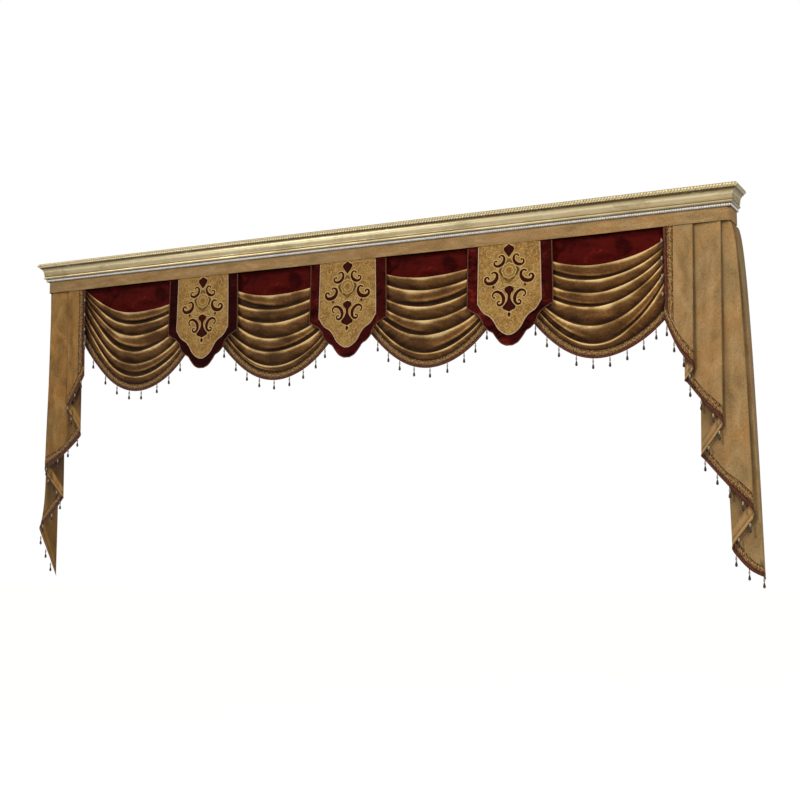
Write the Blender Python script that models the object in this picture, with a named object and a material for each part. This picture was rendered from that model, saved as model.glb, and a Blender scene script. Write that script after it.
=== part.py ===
"""Draped window valance on a moulded cornice.

Metres, +Z up. The wall is the plane Y = 0 and the room lies towards -Y. The origin is the middle of
the pelmet board's back edge, which is fixed to the wall. Most sizes are given as "out", the distance
from the wall, and "level", the height above the heading band's lower edge.
"""

import math

import bmesh
import bpy
from mathutils import Vector

# ---- Driving dimensions -------------------------------------------------------------------------

HALF_LENGTH = 1.765  # middle of the valance to the outer face of the heading band's returns
BAND_LEVEL = -0.135  # height of the heading band's lower edge below the origin
GAP = 0.0004  # between pieces that touch
SHEET = 0.002  # thickness of every cloth
SHIELD_SPACING = 0.80

# Pelmet box: a top board with a front and two end boards under it.
BOARD_THICK = 0.018
LATH_THICK = 0.012
PELMET_OUT = 0.100
PELMET_BOTTOM = 0.020
BOARD_BOTTOM = -BAND_LEVEL - BOARD_THICK / 2

# The stack of cloth in front of the pelmet, from the wall outwards.
BACKING_OUT = PELMET_OUT + GAP + SHEET / 2
SWAG_END_OUT = BACKING_OUT + SHEET + GAP
SHIELD_OUT = 0.1200
MEDALLION_OUT = SHIELD_OUT + SHEET + GAP
BAND_OUT = MEDALLION_OUT + SHEET + GAP
BAND_FRONT = BAND_OUT + SHEET / 2
BAND_TOP = 0.070
BAND_DROOP = 0.0012
BAND_CORNER = 0.022  # radius at which the band turns from the front to its returns
BAND_CORNER_STEPS = 5
BAND_COLUMNS = 20
HEADER_TOP = 0.064  # top edge of the cloths that are sewn in behind the band

# Cornice moulding: "proud" is the distance in front of the heading band's face, "rise" the height
# above the moulding's lower edge.
CORNICE_LEVEL = 0.056
MITRE_GAP = 0.0002
MOULDING_LIP = ((GAP - (BAND_FRONT - PELMET_OUT), 0.0165), (GAP, 0.0165), (GAP, 0.0), (0.0045, 0.0), (0.0045, 0.0132))
TORUS = {"proud": 0.0098, "rise": 0.0200, "radius": 0.0056}
FILLETS = ((0.0100, 0.0268), (0.0128, 0.0280), (0.0128, 0.0312))
COVE = {"proud": 0.0138, "rise": 0.0325, "reach": 0.0165, "height": 0.0355}
CROWN = ((0.0303, 0.0697), (0.0270, 0.0705), (0.0270, 0.0905), (GAP - (BAND_FRONT - PELMET_OUT), 0.0905))
ROPE = {"proud": 0.0289, "rise": 0.0818, "radius": 0.0106, "back": 0.0274}
PEARL = {"back": 0.0049, "low": 0.0010, "high": 0.0124, "bulge": 0.0046}

# Swags: x of both ends, the share of the width at which the folds hang lowest, and for each fold
# crest, then the lower edge of the trim, its level at the left end, the lowest place, the right end.
# "drops" are the shares of the width at which the trim's bead drops hang.
SWAGS = (
    {"left": -1.530, "right": -0.880, "low_at": 0.535, "rows": (
        (-0.004, -0.150, -0.060),
        (-0.026, -0.212, -0.088),
        (-0.050, -0.270, -0.118),
        (-0.076, -0.350, -0.150),
        (-0.130, -0.411, -0.210),
        (-0.166, -0.472, -0.264),
        (-0.290, -0.541, -0.338)),
     "drops": (0.087, 0.215, 0.338, 0.458, 0.571, 0.709, 0.809, 0.907)},
    {"left": -0.720, "right": -0.080, "low_at": 0.525, "rows": (
        (-0.030, -0.132, -0.060),
        (-0.088, -0.203, -0.090),
        (-0.130, -0.267, -0.132),
        (-0.158, -0.341, -0.192),
        (-0.222, -0.404, -0.242),
        (-0.240, -0.469, -0.272),
        (-0.318, -0.532, -0.343)),
     "drops": (0.055, 0.163, 0.269, 0.384, 0.513, 0.641, 0.751, 0.850, 0.925)},
    {"left": 0.080, "right": 0.720, "low_at": 0.515, "rows": (
        (-0.028, -0.118, -0.048),
        (-0.060, -0.179, -0.076),
        (-0.120, -0.253, -0.112),
        (-0.146, -0.315, -0.164),
        (-0.192, -0.382, -0.218),
        (-0.228, -0.460, -0.256),
        (-0.306, -0.523, -0.327)),
     "drops": (0.105, 0.193, 0.287, 0.404, 0.527, 0.657, 0.778, 0.860, 0.945)},
    {"left": 0.880, "right": 1.526, "low_at": 0.485, "rows": (
        (-0.034, -0.138, -0.022),
        (-0.084, -0.202, -0.046),
        (-0.136, -0.258, -0.072),
        (-0.182, -0.318, -0.096),
        (-0.214, -0.399, -0.122),
        (-0.244, -0.474, -0.156),
        (-0.329, -0.531, -0.338)),
     "drops": (0.049, 0.129, 0.215, 0.339, 0.455, 0.569, 0.683, 0.790, 0.871, 0.950)},
)
FOLD_DEPTH_END, FOLD_DEPTH_MIDDLE = 0.005, 0.027
SWAG_BULGE = 0.015  # how much further out the hollows lie in the middle than at the ends
SWAG_EASE = (0.10, 0.34)  # the stretch from each end over which the folds open out
FOLD_STEEPEST = 0.42  # a fold is at most this deep for the room it has below it
SWAG_COLUMNS = 13
# One fold from its crest to the next: "fall" is the share of the way down, "reach" the share of depth.
FOLD = ((0.0, 1.0), (0.20, 0.60), (0.56, 0.0), (0.84, 0.42))
LAST_FOLD = ((0.0, 1.0), (0.24, 0.52), (0.60, 0.16), (1.0, 0.22))

BACKING_OVERLAP = 0.050
BACKING_BOTTOM = -0.215
BACKING_WAVE = 0.0012

# Shields: half of each outline as (half width, level), from the heading down to the tip.
SHIELD_EDGE = ((0.193, HEADER_TOP), (0.194, 0.0), (0.198, -0.255), (0.189, -0.277), (0.150, -0.302),
               (0.129, -0.328), (0.120, -0.352), (0.098, -0.375), (0.076, -0.388), (0.060, -0.410),
               (0.038, -0.435), (0.014, -0.447))
MEDALLION_EDGE = ((0.141, HEADER_TOP), (0.141, 0.0), (0.146, -0.235), (0.142, -0.262), (0.121, -0.295),
                  (0.090, -0.316), (0.070, -0.338), (0.051, -0.370), (0.028, -0.391), (0.009, -0.401))
SHIELD_LEAN = 0.010  # how far the tip stands out from the wall beyond the top
PIPING_RADIUS = 0.0024

# Tails: pleats from the inner edge to the wall. Each row is a fold or an edge with its distance from
# the middle of the valance and from the wall, at the top and at the hem, and the level of the hem.
# "sag" is how far the hem before it hangs below a straight line, "turn" how far it falls on its way
# round the fold, "flare" how early the cloth spreads: 1 evenly, less early, more only near the hem.
TAILS = {
    "left": (
        ("edge", 1.523, 1.512, 0.1205, 0.1260, -0.442, 0.0, 0.0, 1.0),
        ("outer", 1.630, 1.617, 0.1215, 0.1330, -0.611, 0.012, 0.016, 1.0),
        ("inner", 1.545, 1.541, 0.1085, 0.1040, -0.730, 0.0, 0.040, 1.0),
        ("outer", 1.737, 1.745, 0.1200, 0.1330, -0.923, 0.012, 0.026, 1.0),
        ("inner", 1.650, 1.648, 0.1060, 0.0985, -1.054, 0.0, 0.010, 1.0),
        ("corner", 1.7612, 1.781, 0.1012, 0.1180, -1.212, 0.010, 0.0, 14.0),
        ("wall", 1.7612, 1.761, 0.0030, 0.0060, -1.450, 0.0, 0.0, 0.42)),
    "right": (
        ("edge", 1.484, 1.486, 0.1205, 0.1260, -0.393, 0.0, 0.0, 1.0),
        ("outer", 1.608, 1.599, 0.1215, 0.1330, -0.594, 0.026, 0.024, 1.0),
        ("inner", 1.562, 1.560, 0.1085, 0.1040, -0.644, 0.0, 0.012, 1.0),
        ("outer", 1.723, 1.714, 0.1200, 0.1330, -0.828, 0.006, 0.026, 1.0),
        ("inner", 1.634, 1.619, 0.1065, 0.1000, -0.954, 0.0, 0.018, 1.0),
        ("outer", 1.757, 1.826, 0.1130, 0.1300, -1.190, 0.006, 0.040, 0.42),
        ("inner", 1.700, 1.733, 0.1018, 0.0950, -1.326, 0.0, 0.036, 1.0),
        ("corner", 1.7612, 1.856, 0.1012, 0.1100, -1.436, 0.016, 0.0, 0.50),
        ("wall", 1.7612, 1.839, 0.0030, 0.0060, -1.448, 0.0, 0.0, 0.42)),
}
FOLD_RADIUS_TOP, FOLD_RADIUS_HEM = 0.0016, 0.0055
PANEL_STEPS = {"outer": 4, "inner": 3, "corner": 3, "wall": 3}
TAIL_FREE = -0.004  # the pleats start to spread at this level, just below the band
TAIL_ROWS = 8  # below that level
TAIL_WAVE = 0.0020
EDGE_TRIM_WIDTH = 0.038
EDGE_TRIM_SHARES = (0.0, 0.33, 0.66, 1.0)
EDGE_DROP_SHIFT = (0.004, 0.009)  # sideways and forwards of the trim's edge
HEM_TRIM_WIDTH = 0.036  # square to the hem, as the gap is
HEM_TRIM_STEEPEST = 1.9  # a trim is at most this many times its width high
HEM_GAP = 0.0008
SWAG_TRIM_WIDTH = 0.034

# Bead drops: "down" from the trim's edge and half the width of each ring.
DROP_RINGS = ((0.006, 0.0030), (0.021, 0.0033), (0.036, 0.0057), (0.045, 0.0015))
DROP_SPACING = 0.075
DROP_ROOT = 0.004
DROP_FORWARD = 0.0075
DROP_CLEAR_OF_FOLD = 0.013

# name: (red, green, blue), roughness, metallic
FINISHES = {
    "gold_leaf": ((0.52, 0.42, 0.20), 0.38, 0.75),
    "silver_leaf": ((0.55, 0.53, 0.52), 0.35, 0.85),
    "pine": ((0.50, 0.36, 0.20), 0.70, 0.0),
    "gold_chenille": ((0.36, 0.22, 0.085), 0.85, 0.0),
    "burgundy_velvet": ((0.115, 0.008, 0.012), 0.80, 0.0),
    "gold_brocade": ((0.47, 0.29, 0.095), 0.75, 0.0),
    "gold_piping": ((0.60, 0.38, 0.18), 0.65, 0.0),
    "bead_trim": ((0.26, 0.13, 0.05), 0.65, 0.1),
}


# ---- Helpers ------------------------------------------------------------------------------------


def place(x, out, level):
    """The world position of a point given by its distance from the wall and its level."""
    return Vector((x, -out, level + BAND_LEVEL))


def blend(low, high, share):
    return low + (high - low) * share


def ease(share):
    """0 to 1 with soft ends."""
    share = min(1.0, max(0.0, share))
    return share * share * (3 - 2 * share)


def finish(name):
    """The Principled material of this name, made once."""
    material = bpy.data.materials.get(name)
    if material:
        return material
    colour, roughness, metallic = FINISHES[name]
    material = bpy.data.materials.new(name)
    material.use_nodes = True
    shader = material.node_tree.nodes["Principled BSDF"]
    shader.inputs["Base Color"].default_value = (*colour, 1.0)
    shader.inputs["Roughness"].default_value = roughness
    shader.inputs["Metallic"].default_value = metallic
    material.diffuse_color = (*colour, 1.0)
    return material


def add_object(name, mesh_faces, material, smooth=False):
    """Makes an object from (points, faces), with its normals outwards and a material of its own."""
    points, faces = mesh_faces
    mesh = bpy.data.meshes.new(name)
    shape = bmesh.new()
    corners = [shape.verts.new(point) for point in points]
    for face in faces:
        shape.faces.new([corners[index] for index in face])
    bmesh.ops.recalc_face_normals(shape, faces=shape.faces)
    shape.to_mesh(mesh)
    shape.free()
    mesh.materials.append(finish(material))
    piece = bpy.data.objects.new(name, mesh)
    bpy.context.scene.collection.objects.link(piece)
    if smooth:
        mesh.shade_smooth()
        mesh.set_sharp_from_angle(angle=math.radians(50))
    return piece


def add_box(name, low, high, material):
    points = [(x, y, z) for z in (low[2], high[2]) for y in (low[1], high[1]) for x in (low[0], high[0])]
    faces = [(0, 1, 3, 2), (4, 5, 7, 6), (0, 1, 5, 4), (2, 3, 7, 6), (0, 2, 6, 4), (1, 3, 7, 5)]
    return add_object(name, (points, faces), material)


def grid_normals(grid):
    """A unit normal for each point of a grid of columns, from its neighbours."""
    columns, rows = len(grid), len(grid[0])
    normals = []
    for i in range(columns):
        line = []
        for j in range(rows):
            here = grid[i][j]
            along, down = Vector(), Vector()
            if i:
                along += (here - grid[i - 1][j]).normalized()
            if i < columns - 1:
                along += (grid[i + 1][j] - here).normalized()
            if j:
                down += (here - grid[i][j - 1]).normalized()
            if j < rows - 1:
                down += (grid[i][j + 1] - here).normalized()
            line.append(along.cross(down).normalized())
        normals.append(line)
    return normals


def thicken(grid, thickness=SHEET):
    """The front and the back surface of a sheet whose middle is this grid."""
    normals = grid_normals(grid)
    return [[[point + normal * thickness / 2 * side for point, normal in zip(column, line)]
             for column, line in zip(grid, normals)] for side in (1, -1)]


def with_roots(layers, stops, roots, width):
    """Adds a pair of columns this far apart for each root, between the columns at the stops."""
    pairs = [(root - width / 2, root + width / 2) for root in roots]
    wanted = sorted([*stops, *(stop for pair in pairs for stop in pair)])
    widened = []
    for layer in layers:
        columns = []
        for stop in wanted:
            index = max(k for k in range(len(stops) - 1) if stops[k] <= stop)
            share = (stop - stops[index]) / (stops[index + 1] - stops[index])
            columns.append([a.lerp(b, share) for a, b in zip(layer[index], layer[index + 1])])
        widened.append(columns)
    return widened, [wanted.index(pair[0]) for pair in pairs]


def clear_of(stops, root, width):
    """The root moved along until it is clear of every stop."""
    while any(abs(root - stop) < 1.5 * width for stop in stops):
        root += width / 4
    return root


def sheet_mesh(layers, drops=None):
    """Closes the front and back surface of a sheet, each a grid of columns, into a solid.

    drops gives, for the index of a column, how far the bead drop below it is shifted. It hangs
    there in place of the sheet's lower face.
    """
    columns, rows = len(layers[0]), len(layers[0][0])
    points = [point for layer in layers for column in layer for point in column]

    def front(i, j):
        return i * rows + j

    def back(i, j):
        return columns * rows + i * rows + j

    faces = []
    for i in range(columns - 1):
        for j in range(rows - 1):
            faces.append((front(i, j), front(i, j + 1), front(i + 1, j + 1), front(i + 1, j)))
            faces.append((back(i, j), back(i + 1, j), back(i + 1, j + 1), back(i, j + 1)))
    last = columns - 1
    for j in range(rows - 1):
        faces.append((front(0, j), back(0, j), back(0, j + 1), front(0, j + 1)))
        faces.append((front(last, j), front(last, j + 1), back(last, j + 1), back(last, j)))
    last = rows - 1
    for i in range(columns - 1):
        faces.append((front(i, 0), front(i + 1, 0), back(i + 1, 0)))
        faces.append((front(i, 0), back(i + 1, 0), back(i, 0)))
        if drops and i in drops:
            root = (front(i, last), back(i, last), back(i + 1, last), front(i + 1, last))
            hang_drop(points, faces, root, drops[i])
        else:
            faces.append((front(i, last), back(i, last), back(i + 1, last)))
            faces.append((front(i, last), back(i + 1, last), front(i + 1, last)))
    return points, faces


def hang_drop(points, faces, root, shift):
    """Hangs a bead drop from four root corners, as square rings that follow the root's own order.

    A root on an upright edge is shifted sideways, so its upper corners become the drop's far side.
    """
    middle = sum((points[index] for index in root), Vector()) / 4
    arms = []
    for index in root:
        arm = points[index] - middle
        across = math.copysign(1, shift.x) * arm.z if shift.x else arm.x
        arms.append(complex(across, arm.y))
    turn = math.copysign(1, sum((a.conjugate() * b).imag for a, b in zip(arms, arms[1:] + arms[:1])))
    first = sum(arm / abs(arm) * (-1j * turn) ** k for k, arm in enumerate(arms))
    first /= abs(first)
    above = root
    for down, half_width in DROP_RINGS:
        ring = []
        for k in range(4):
            corner = first * (1j * turn) ** k * half_width * math.sqrt(2)
            ring.append(len(points))
            points.append(middle + shift + Vector((corner.real, corner.imag, -down)))
        for k in range(4):
            following = (k + 1) % 4
            faces.append((above[k], above[following], ring[following], ring[k]))
        above = tuple(ring)
    faces.append(above)


# ---- Pelmet and cornice -------------------------------------------------------------------------


def build_pelmet():
    inner_face = HALF_LENGTH - (BAND_FRONT - PELMET_OUT)
    top = BAND_LEVEL + BOARD_BOTTOM
    bottom = BAND_LEVEL + PELMET_BOTTOM
    add_box("pelmet_top_board", (-inner_face, -PELMET_OUT, top), (inner_face, 0, top + BOARD_THICK), "pine")
    front_low = (-inner_face, -PELMET_OUT, bottom)
    front_high = (inner_face, LATH_THICK - PELMET_OUT, top - GAP)
    add_box("pelmet_front_board", front_low, front_high, "pine")
    for side, name in ((-1, "left"), (1, "right")):
        ends = sorted((side * inner_face, side * (inner_face - LATH_THICK)))
        low = (ends[0], LATH_THICK + GAP - PELMET_OUT, bottom)
        high = (ends[1], -GAP, top - GAP)
        add_box(f"pelmet_{name}_board", low, high, "pine")


def moulding_profile():
    torus = []
    for k in range(5):
        angle = math.radians(-78 + 39 * k)
        torus.append((TORUS["proud"] + TORUS["radius"] * math.cos(angle),
                      TORUS["rise"] + TORUS["radius"] * math.sin(angle)))
    cove = []
    for k in range(7):
        angle = math.radians(15 * k)
        cove.append((COVE["proud"] + COVE["reach"] * (1 - math.cos(angle)),
                     COVE["rise"] + COVE["height"] * math.sin(angle)))
    return [*MOULDING_LIP, *torus, *FILLETS, *cove, *CROWN]


def rope_profile():
    lean = math.acos((ROPE["back"] - ROPE["proud"]) / ROPE["radius"])
    profile = []
    for k in range(11):
        angle = blend(-lean, lean, k / 10)
        profile.append((ROPE["proud"] + ROPE["radius"] * math.cos(angle),
                        ROPE["rise"] + ROPE["radius"] * math.sin(angle)))
    return profile


def pearl_profile():
    middle = (PEARL["low"] + PEARL["high"]) / 2
    half = (PEARL["high"] - PEARL["low"]) / 2
    profile = []
    for k in range(7):
        angle = math.radians(-90 + 30 * k)
        profile.append((PEARL["back"] + PEARL["bulge"] * math.cos(angle), middle + half * math.sin(angle)))
    return profile


def add_length(name, profile, ends, material):
    """A straight length of moulding: ends gives two functions from "proud" to (x, out)."""
    points, count = [], len(profile)
    for end in ends:
        for proud, rise in profile:
            x, out = end(proud)
            points.append(place(x, out, CORNICE_LEVEL + rise))
    faces = [(k, (k + 1) % count, count + (k + 1) % count, count + k) for k in range(count)]
    faces += [tuple(range(count)), tuple(range(count, 2 * count))]
    return add_object(name, (points, faces), material, smooth=True)


def build_cornice():
    """The moulding, its rope bead and its pearl bead, each a front length and two returns."""
    beads = (("cornice_moulding", moulding_profile(), "gold_leaf"),
             ("rope_bead", rope_profile(), "gold_leaf"),
             ("pearl_bead", pearl_profile(), "silver_leaf"))
    for name, profile, material in beads:
        add_length(f"{name}_front", profile, (
            lambda proud: (-(HALF_LENGTH + proud - MITRE_GAP), BAND_FRONT + proud),
            lambda proud: (HALF_LENGTH + proud - MITRE_GAP, BAND_FRONT + proud)), material)
        for side, end_name in ((-1, "left"), (1, "right")):
            add_length(f"{name}_{end_name}", profile, (
                lambda proud, side=side: (side * (HALF_LENGTH + proud), BAND_FRONT + proud - MITRE_GAP),
                lambda proud, side=side: (side * (HALF_LENGTH + proud), GAP)), material)


def build_heading_band():
    """The band wraps the front and both ends, in one strip, behind the moulding's lip."""
    run = HALF_LENGTH - SHEET / 2
    end = [(-run, 0.003), (-run, BAND_OUT / 2)]
    for k in range(BAND_CORNER_STEPS):
        angle = math.radians(90 * k / BAND_CORNER_STEPS)
        end.append((-run + BAND_CORNER * (1 - math.cos(angle)), BAND_OUT - BAND_CORNER * (1 - math.sin(angle))))
    straight = run - BAND_CORNER
    front = [(blend(-straight, straight, k / BAND_COLUMNS), BAND_OUT) for k in range(BAND_COLUMNS + 1)]
    path = [*end, *front, *((-x, out) for x, out in reversed(end))]
    grid = []
    for x, out in path:
        droop = BAND_DROOP * math.sin(7.0 * x) * math.cos(2.3 * x)
        levels = (BAND_TOP, 0.030, droop)
        grid.append([place(x, out, level) for level in levels])
    return add_object("heading_band", sheet_mesh(thicken(grid)), "gold_chenille", smooth=True)


# ---- Swags and their backings --------------------------------------------------------------------


def swag_level(swag, row, share):
    """The level of a crest, or of the trim's lower edge, at this share of the swag's width."""
    left, lowest, right = swag["rows"][row]
    low_at = swag["low_at"]
    if share < low_at:
        return lowest + (left - lowest) * ((low_at - share) / low_at) ** 2
    return lowest + (right - lowest) * ((share - low_at) / (1 - low_at)) ** 2


def swag_opening(share):
    """0 at the pleated ends, 1 where the folds stand fully open."""
    start, length = SWAG_EASE
    return ease((min(share, 1 - share) - start) / length)


def swag_hollow_out(share):
    return SWAG_END_OUT + SWAG_BULGE * swag_opening(share)


def swag_fold_depth(share, room):
    depth = blend(FOLD_DEPTH_END, FOLD_DEPTH_MIDDLE, swag_opening(share))
    return min(depth, FOLD_STEEPEST * room)


def swag_trim_level(swag, share, above=0.0):
    """The level of the trim's lower edge, or of a line that far above it across the trim."""
    step = 0.01
    rise = swag_level(swag, -1, min(1, share + step)) - swag_level(swag, -1, max(0, share - step))
    run = (swag["right"] - swag["left"]) * (min(1, share + step) - max(0, share - step))
    return swag_level(swag, -1, share) + above * math.hypot(1, rise / run)


def swag_column(swag, share):
    """One column of the swag's cloth, from its first crest to the top of its trim."""
    x = blend(swag["left"], swag["right"], share)
    hollow = swag_hollow_out(share)
    crests = [swag_level(swag, row, share) for row in range(len(swag["rows"]) - 1)]
    crests.append(swag_trim_level(swag, share, SWAG_TRIM_WIDTH + GAP))
    column = []
    for row in range(len(crests) - 1):
        last = row == len(crests) - 2
        room = crests[row] - crests[row + 1]
        depth = swag_fold_depth(share, room)
        next_room = room if last else crests[row + 1] - crests[row + 2]
        next_depth = depth if last else swag_fold_depth(share, next_room)
        for fall, reach in LAST_FOLD if last else FOLD:
            here = blend(depth, next_depth, fall)
            column.append(place(x, hollow + here * reach, blend(crests[row], crests[row + 1], fall)))
    return column


def swag_edge_out(swag, share):
    """How far from the wall the swag's trim hangs."""
    room = swag_level(swag, -2, share) - swag_trim_level(swag, share, SWAG_TRIM_WIDTH)
    return swag_hollow_out(share) + swag_fold_depth(share, room) * LAST_FOLD[-1][1]


def build_swag(number, swag):
    shares = [k / (SWAG_COLUMNS - 1) for k in range(SWAG_COLUMNS)]
    grid = [swag_column(swag, share) for share in shares]
    add_object(f"swag_{number}", sheet_mesh(thicken(grid)), "gold_chenille", smooth=True)

    grid = []
    for share in shares:
        x = blend(swag["left"], swag["right"], share)
        out = swag_edge_out(swag, share)
        grid.append([place(x, out, swag_trim_level(swag, share, above)) for above in (SWAG_TRIM_WIDTH, 0.0)])
    root = DROP_ROOT / (swag["right"] - swag["left"])
    roots = [clear_of(shares, share, root) for share in swag["drops"]]
    layers, starts = with_roots(thicken(grid), shares, roots, root)
    drops = {start: Vector() for start in starts}
    add_object(f"swag_trim_{number}", sheet_mesh(layers, drops), "bead_trim")


def build_backing(number, swag):
    """A flat velvet panel behind the swag, with a few soft waves in it."""
    left, right = swag["left"] - BACKING_OVERLAP, swag["right"] + BACKING_OVERLAP
    left = max(left, SWAGS[0]["left"])
    right = min(right, SWAGS[-1]["right"])
    levels = (HEADER_TOP, PELMET_BOTTOM, -0.03, -0.08, -0.14, BACKING_BOTTOM)
    columns = 11
    grid = []
    for k in range(columns):
        share = k / (columns - 1)
        column = []
        for level in levels:
            free = ease((PELMET_BOTTOM - level) / 0.06) * swag_opening(share)
            wave = BACKING_WAVE * free * math.sin(9 * share + 24 * level + number)
            column.append(place(blend(left, right, share), BACKING_OUT + wave, level))
        grid.append(column)
    add_object(f"backing_{number}", sheet_mesh(thicken(grid)), "burgundy_velvet", smooth=True)


# ---- Shields -------------------------------------------------------------------------------------


def shield_lean(level):
    return SHIELD_LEAN * max(0.0, level / SHIELD_EDGE[-1][1]) ** 1.5


def full_outline(half):
    """Both halves of a shield's outline, from the top left corner round to the top right."""
    return [(-w, level) for w, level in half] + [(w, level) for w, level in reversed(half)]


def add_plate(name, half, centre, out, material):
    """A shield as a stack of strips between its left and right edge, so that it can bow."""
    grid = []
    for share in (-1, 1):
        grid.append([place(centre + share * w, out + shield_lean(level), level) for w, level in half])
    add_object(name, sheet_mesh(thicken(grid)), material)


def add_piping(name, half, centre, out):
    """A cord along a shield's edge, below the heading band."""
    half = [(w, min(level, -2 * BAND_DROOP)) for w, level in half[1:]]
    away = PIPING_RADIUS + GAP
    outline = full_outline(half)
    points, faces = [], []
    sides = 4
    for index, (w, level) in enumerate(outline):
        before = outline[max(index - 1, 0)]
        after = outline[min(index + 1, len(outline) - 1)]
        along = Vector((after[0] - before[0], after[1] - before[1])).normalized()
        across = Vector((along.y, -along.x)) * -1
        if index in (0, len(outline) - 1):
            across = Vector((math.copysign(1, w), 0))
        outward = across if across.dot(Vector((w, level + 0.2))) > 0 else -across
        for k in range(sides):
            angle = 2 * math.pi * k / sides
            reach = away + PIPING_RADIUS * math.cos(angle)
            points.append(place(centre + w + outward.x * reach,
                                out + shield_lean(level) + PIPING_RADIUS * math.sin(angle),
                                level + outward.y * reach))
    for index in range(len(outline) - 1):
        for k in range(sides):
            following = (k + 1) % sides
            base = index * sides
            faces.append((base + k, base + following, base + sides + following, base + sides + k))
    faces += [tuple(range(sides)), tuple(range(len(points) - sides, len(points)))]
    add_object(name, (points, faces), "gold_piping", smooth=True)


def build_shield(number, centre):
    add_plate(f"shield_{number}", SHIELD_EDGE, centre, SHIELD_OUT, "burgundy_velvet")
    add_plate(f"medallion_{number}", MEDALLION_EDGE, centre, MEDALLION_OUT, "gold_brocade")
    add_piping(f"shield_piping_{number}", SHIELD_EDGE, centre, SHIELD_OUT)
    lift = SHEET / 2 + GAP + PIPING_RADIUS
    add_piping(f"medallion_piping_{number}", MEDALLION_EDGE, centre, SHIELD_OUT + lift)


# ---- Tails ---------------------------------------------------------------------------------------


def tail_stations(rows):
    """The pleated path as a list of (x, out) at the top and at the hem, with the hem's level.

    Each fold is a half turn of three points, so that cloth arrives on one side of it and leaves on
    the other. "step" says how far round the fold a point is.
    """
    stations = []
    for kind, x_top, x_hem, out_top, out_hem, level, sag, turn, flare in rows:
        if kind == "outer":
            turns = ((-1, 0, 0), (0, -1, 1), (-1, -2, 2))
        elif kind == "inner":
            turns = ((1, 2, 0), (0, 1, 1), (1, 0, 2))
        else:
            turns = ((0, 0, 1),)
        for turn_x, turn_out, step in turns:
            stations.append({
                "kind": kind, "step": step, "level": level - turn * (step - 1) / 2, "flare": flare,
                "sag": 0.0 if step == 2 or (step == 1 and len(turns) > 1) else sag,
                "top": (x_top + turn_x * FOLD_RADIUS_TOP, out_top + turn_out * FOLD_RADIUS_TOP),
                "hem": (x_hem + turn_x * FOLD_RADIUS_HEM, out_hem + turn_out * FOLD_RADIUS_HEM)})
    return stations


def tail_path(rows):
    """Stops along the path: the distance run at the hem, then (top, hem, level) of each."""
    stations = tail_stations(rows)
    stops = []
    for first, second in zip(stations, stations[1:]):
        same_fold = first["kind"] == second["kind"]
        steps = 1 if same_fold else PANEL_STEPS[second["kind"]]
        for k in range(steps):
            stops.append(tail_between(first, second, k / steps))
    stops.append(tail_between(stations[-2], stations[-1], 1.0))
    stops[0]["run"] = 0.0
    for before, stop in zip(stops, stops[1:]):
        stop["run"] = before["run"] + math.hypot(math.dist(before["hem"], stop["hem"]), before["level"] - stop["level"])
    steepness = hem_steepness(stops, [stop["level"] for stop in stops])
    for index, stop in enumerate(stops):
        near = steepness[max(index - 1, 0):index + 2]
        stop["height"] = HEM_TRIM_WIDTH * min(sum(near) / len(near), HEM_TRIM_STEEPEST)
    steepness = hem_steepness(stops, [stop["level"] + stop["height"] for stop in stops])
    for stop, steep in zip(stops, steepness):
        stop["gap"] = HEM_GAP * steep
    return stops


def hem_steepness(stops, levels):
    """For each stop, how much longer a line at these levels is than the plan below it."""
    lengths = []
    for first, second, high, low in zip(stops, stops[1:], levels, levels[1:]):
        flat = math.dist(first["hem"], second["hem"])
        lengths.append(math.hypot(flat, high - low) / flat)
    return [max(pair) for pair in zip([1.0, *lengths], [*lengths, 1.0])]


def tail_between(first, second, share):
    stop = {key: blend(first[key], second[key], share) for key in ("level", "flare")}
    for end in ("top", "hem"):
        stop[end] = tuple(blend(a, b, share) for a, b in zip(first[end], second[end]))
    stop["free"] = math.sin(math.pi * share)
    stop["level"] -= second["sag"] * stop["free"]
    stop["fold"] = stop["free"] < 0.01 and first["kind"] != "edge"
    return stop


def path_at(stops, run):
    """The stop at this distance along the hem, between the two nearest."""
    for first, second in zip(stops, stops[1:]):
        if run <= second["run"]:
            share = (run - first["run"]) / max(1e-9, second["run"] - first["run"])
            stop = {key: tuple(blend(a, b, share) for a, b in zip(first[key], second[key]))
                    for key in ("top", "hem")}
            stop["run"] = run
            for key in ("level", "free", "flare", "height", "gap"):
                stop[key] = blend(first[key], second[key], share)
            return stop
    return stops[-1]


def tail_point(side, stop, level):
    """A point of the tail at this level of the column through the stop."""
    share = max(0.0, (TAIL_FREE - level) / (TAIL_FREE - stop["level"])) ** stop["flare"]
    x = blend(stop["top"][0], stop["hem"][0], share)
    out = blend(stop["top"][1], stop["hem"][1], share)
    wave = TAIL_WAVE * stop["free"] * ease(-level / 0.3) * math.sin(5 * level + 14 * x)
    return place(side * x, out + wave, level)


def build_tail(name, side, rows):
    stops = tail_path(rows)
    cut = path_at(stops, run_at(stops, EDGE_TRIM_WIDTH))
    body = [cut] + [stop for stop in stops if stop["run"] > cut["run"] + 0.006]
    grid = []
    for stop in body:
        bottom = stop["level"] + stop["height"] + stop["gap"]
        levels = [blend(TAIL_FREE, bottom, (j / TAIL_ROWS) ** 1.5) for j in range(TAIL_ROWS + 1)]
        grid.append([tail_point(side, stop, level) for level in (HEADER_TOP, *levels)])
    add_object(f"tail_{name}", sheet_mesh(thicken(grid)), "gold_chenille", smooth=True)
    build_hem_trim(name, side, stops)
    build_edge_trim(name, side, stops)


def run_at(stops, width):
    """The distance along the hem of the point this far from the tail's inner edge."""
    for first, second in zip(stops, stops[1:]):
        near, far = (abs(stop["hem"][0] - stops[0]["hem"][0]) for stop in (first, second))
        if width <= far:
            return blend(first["run"], second["run"], (width - near) / (far - near))


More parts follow.
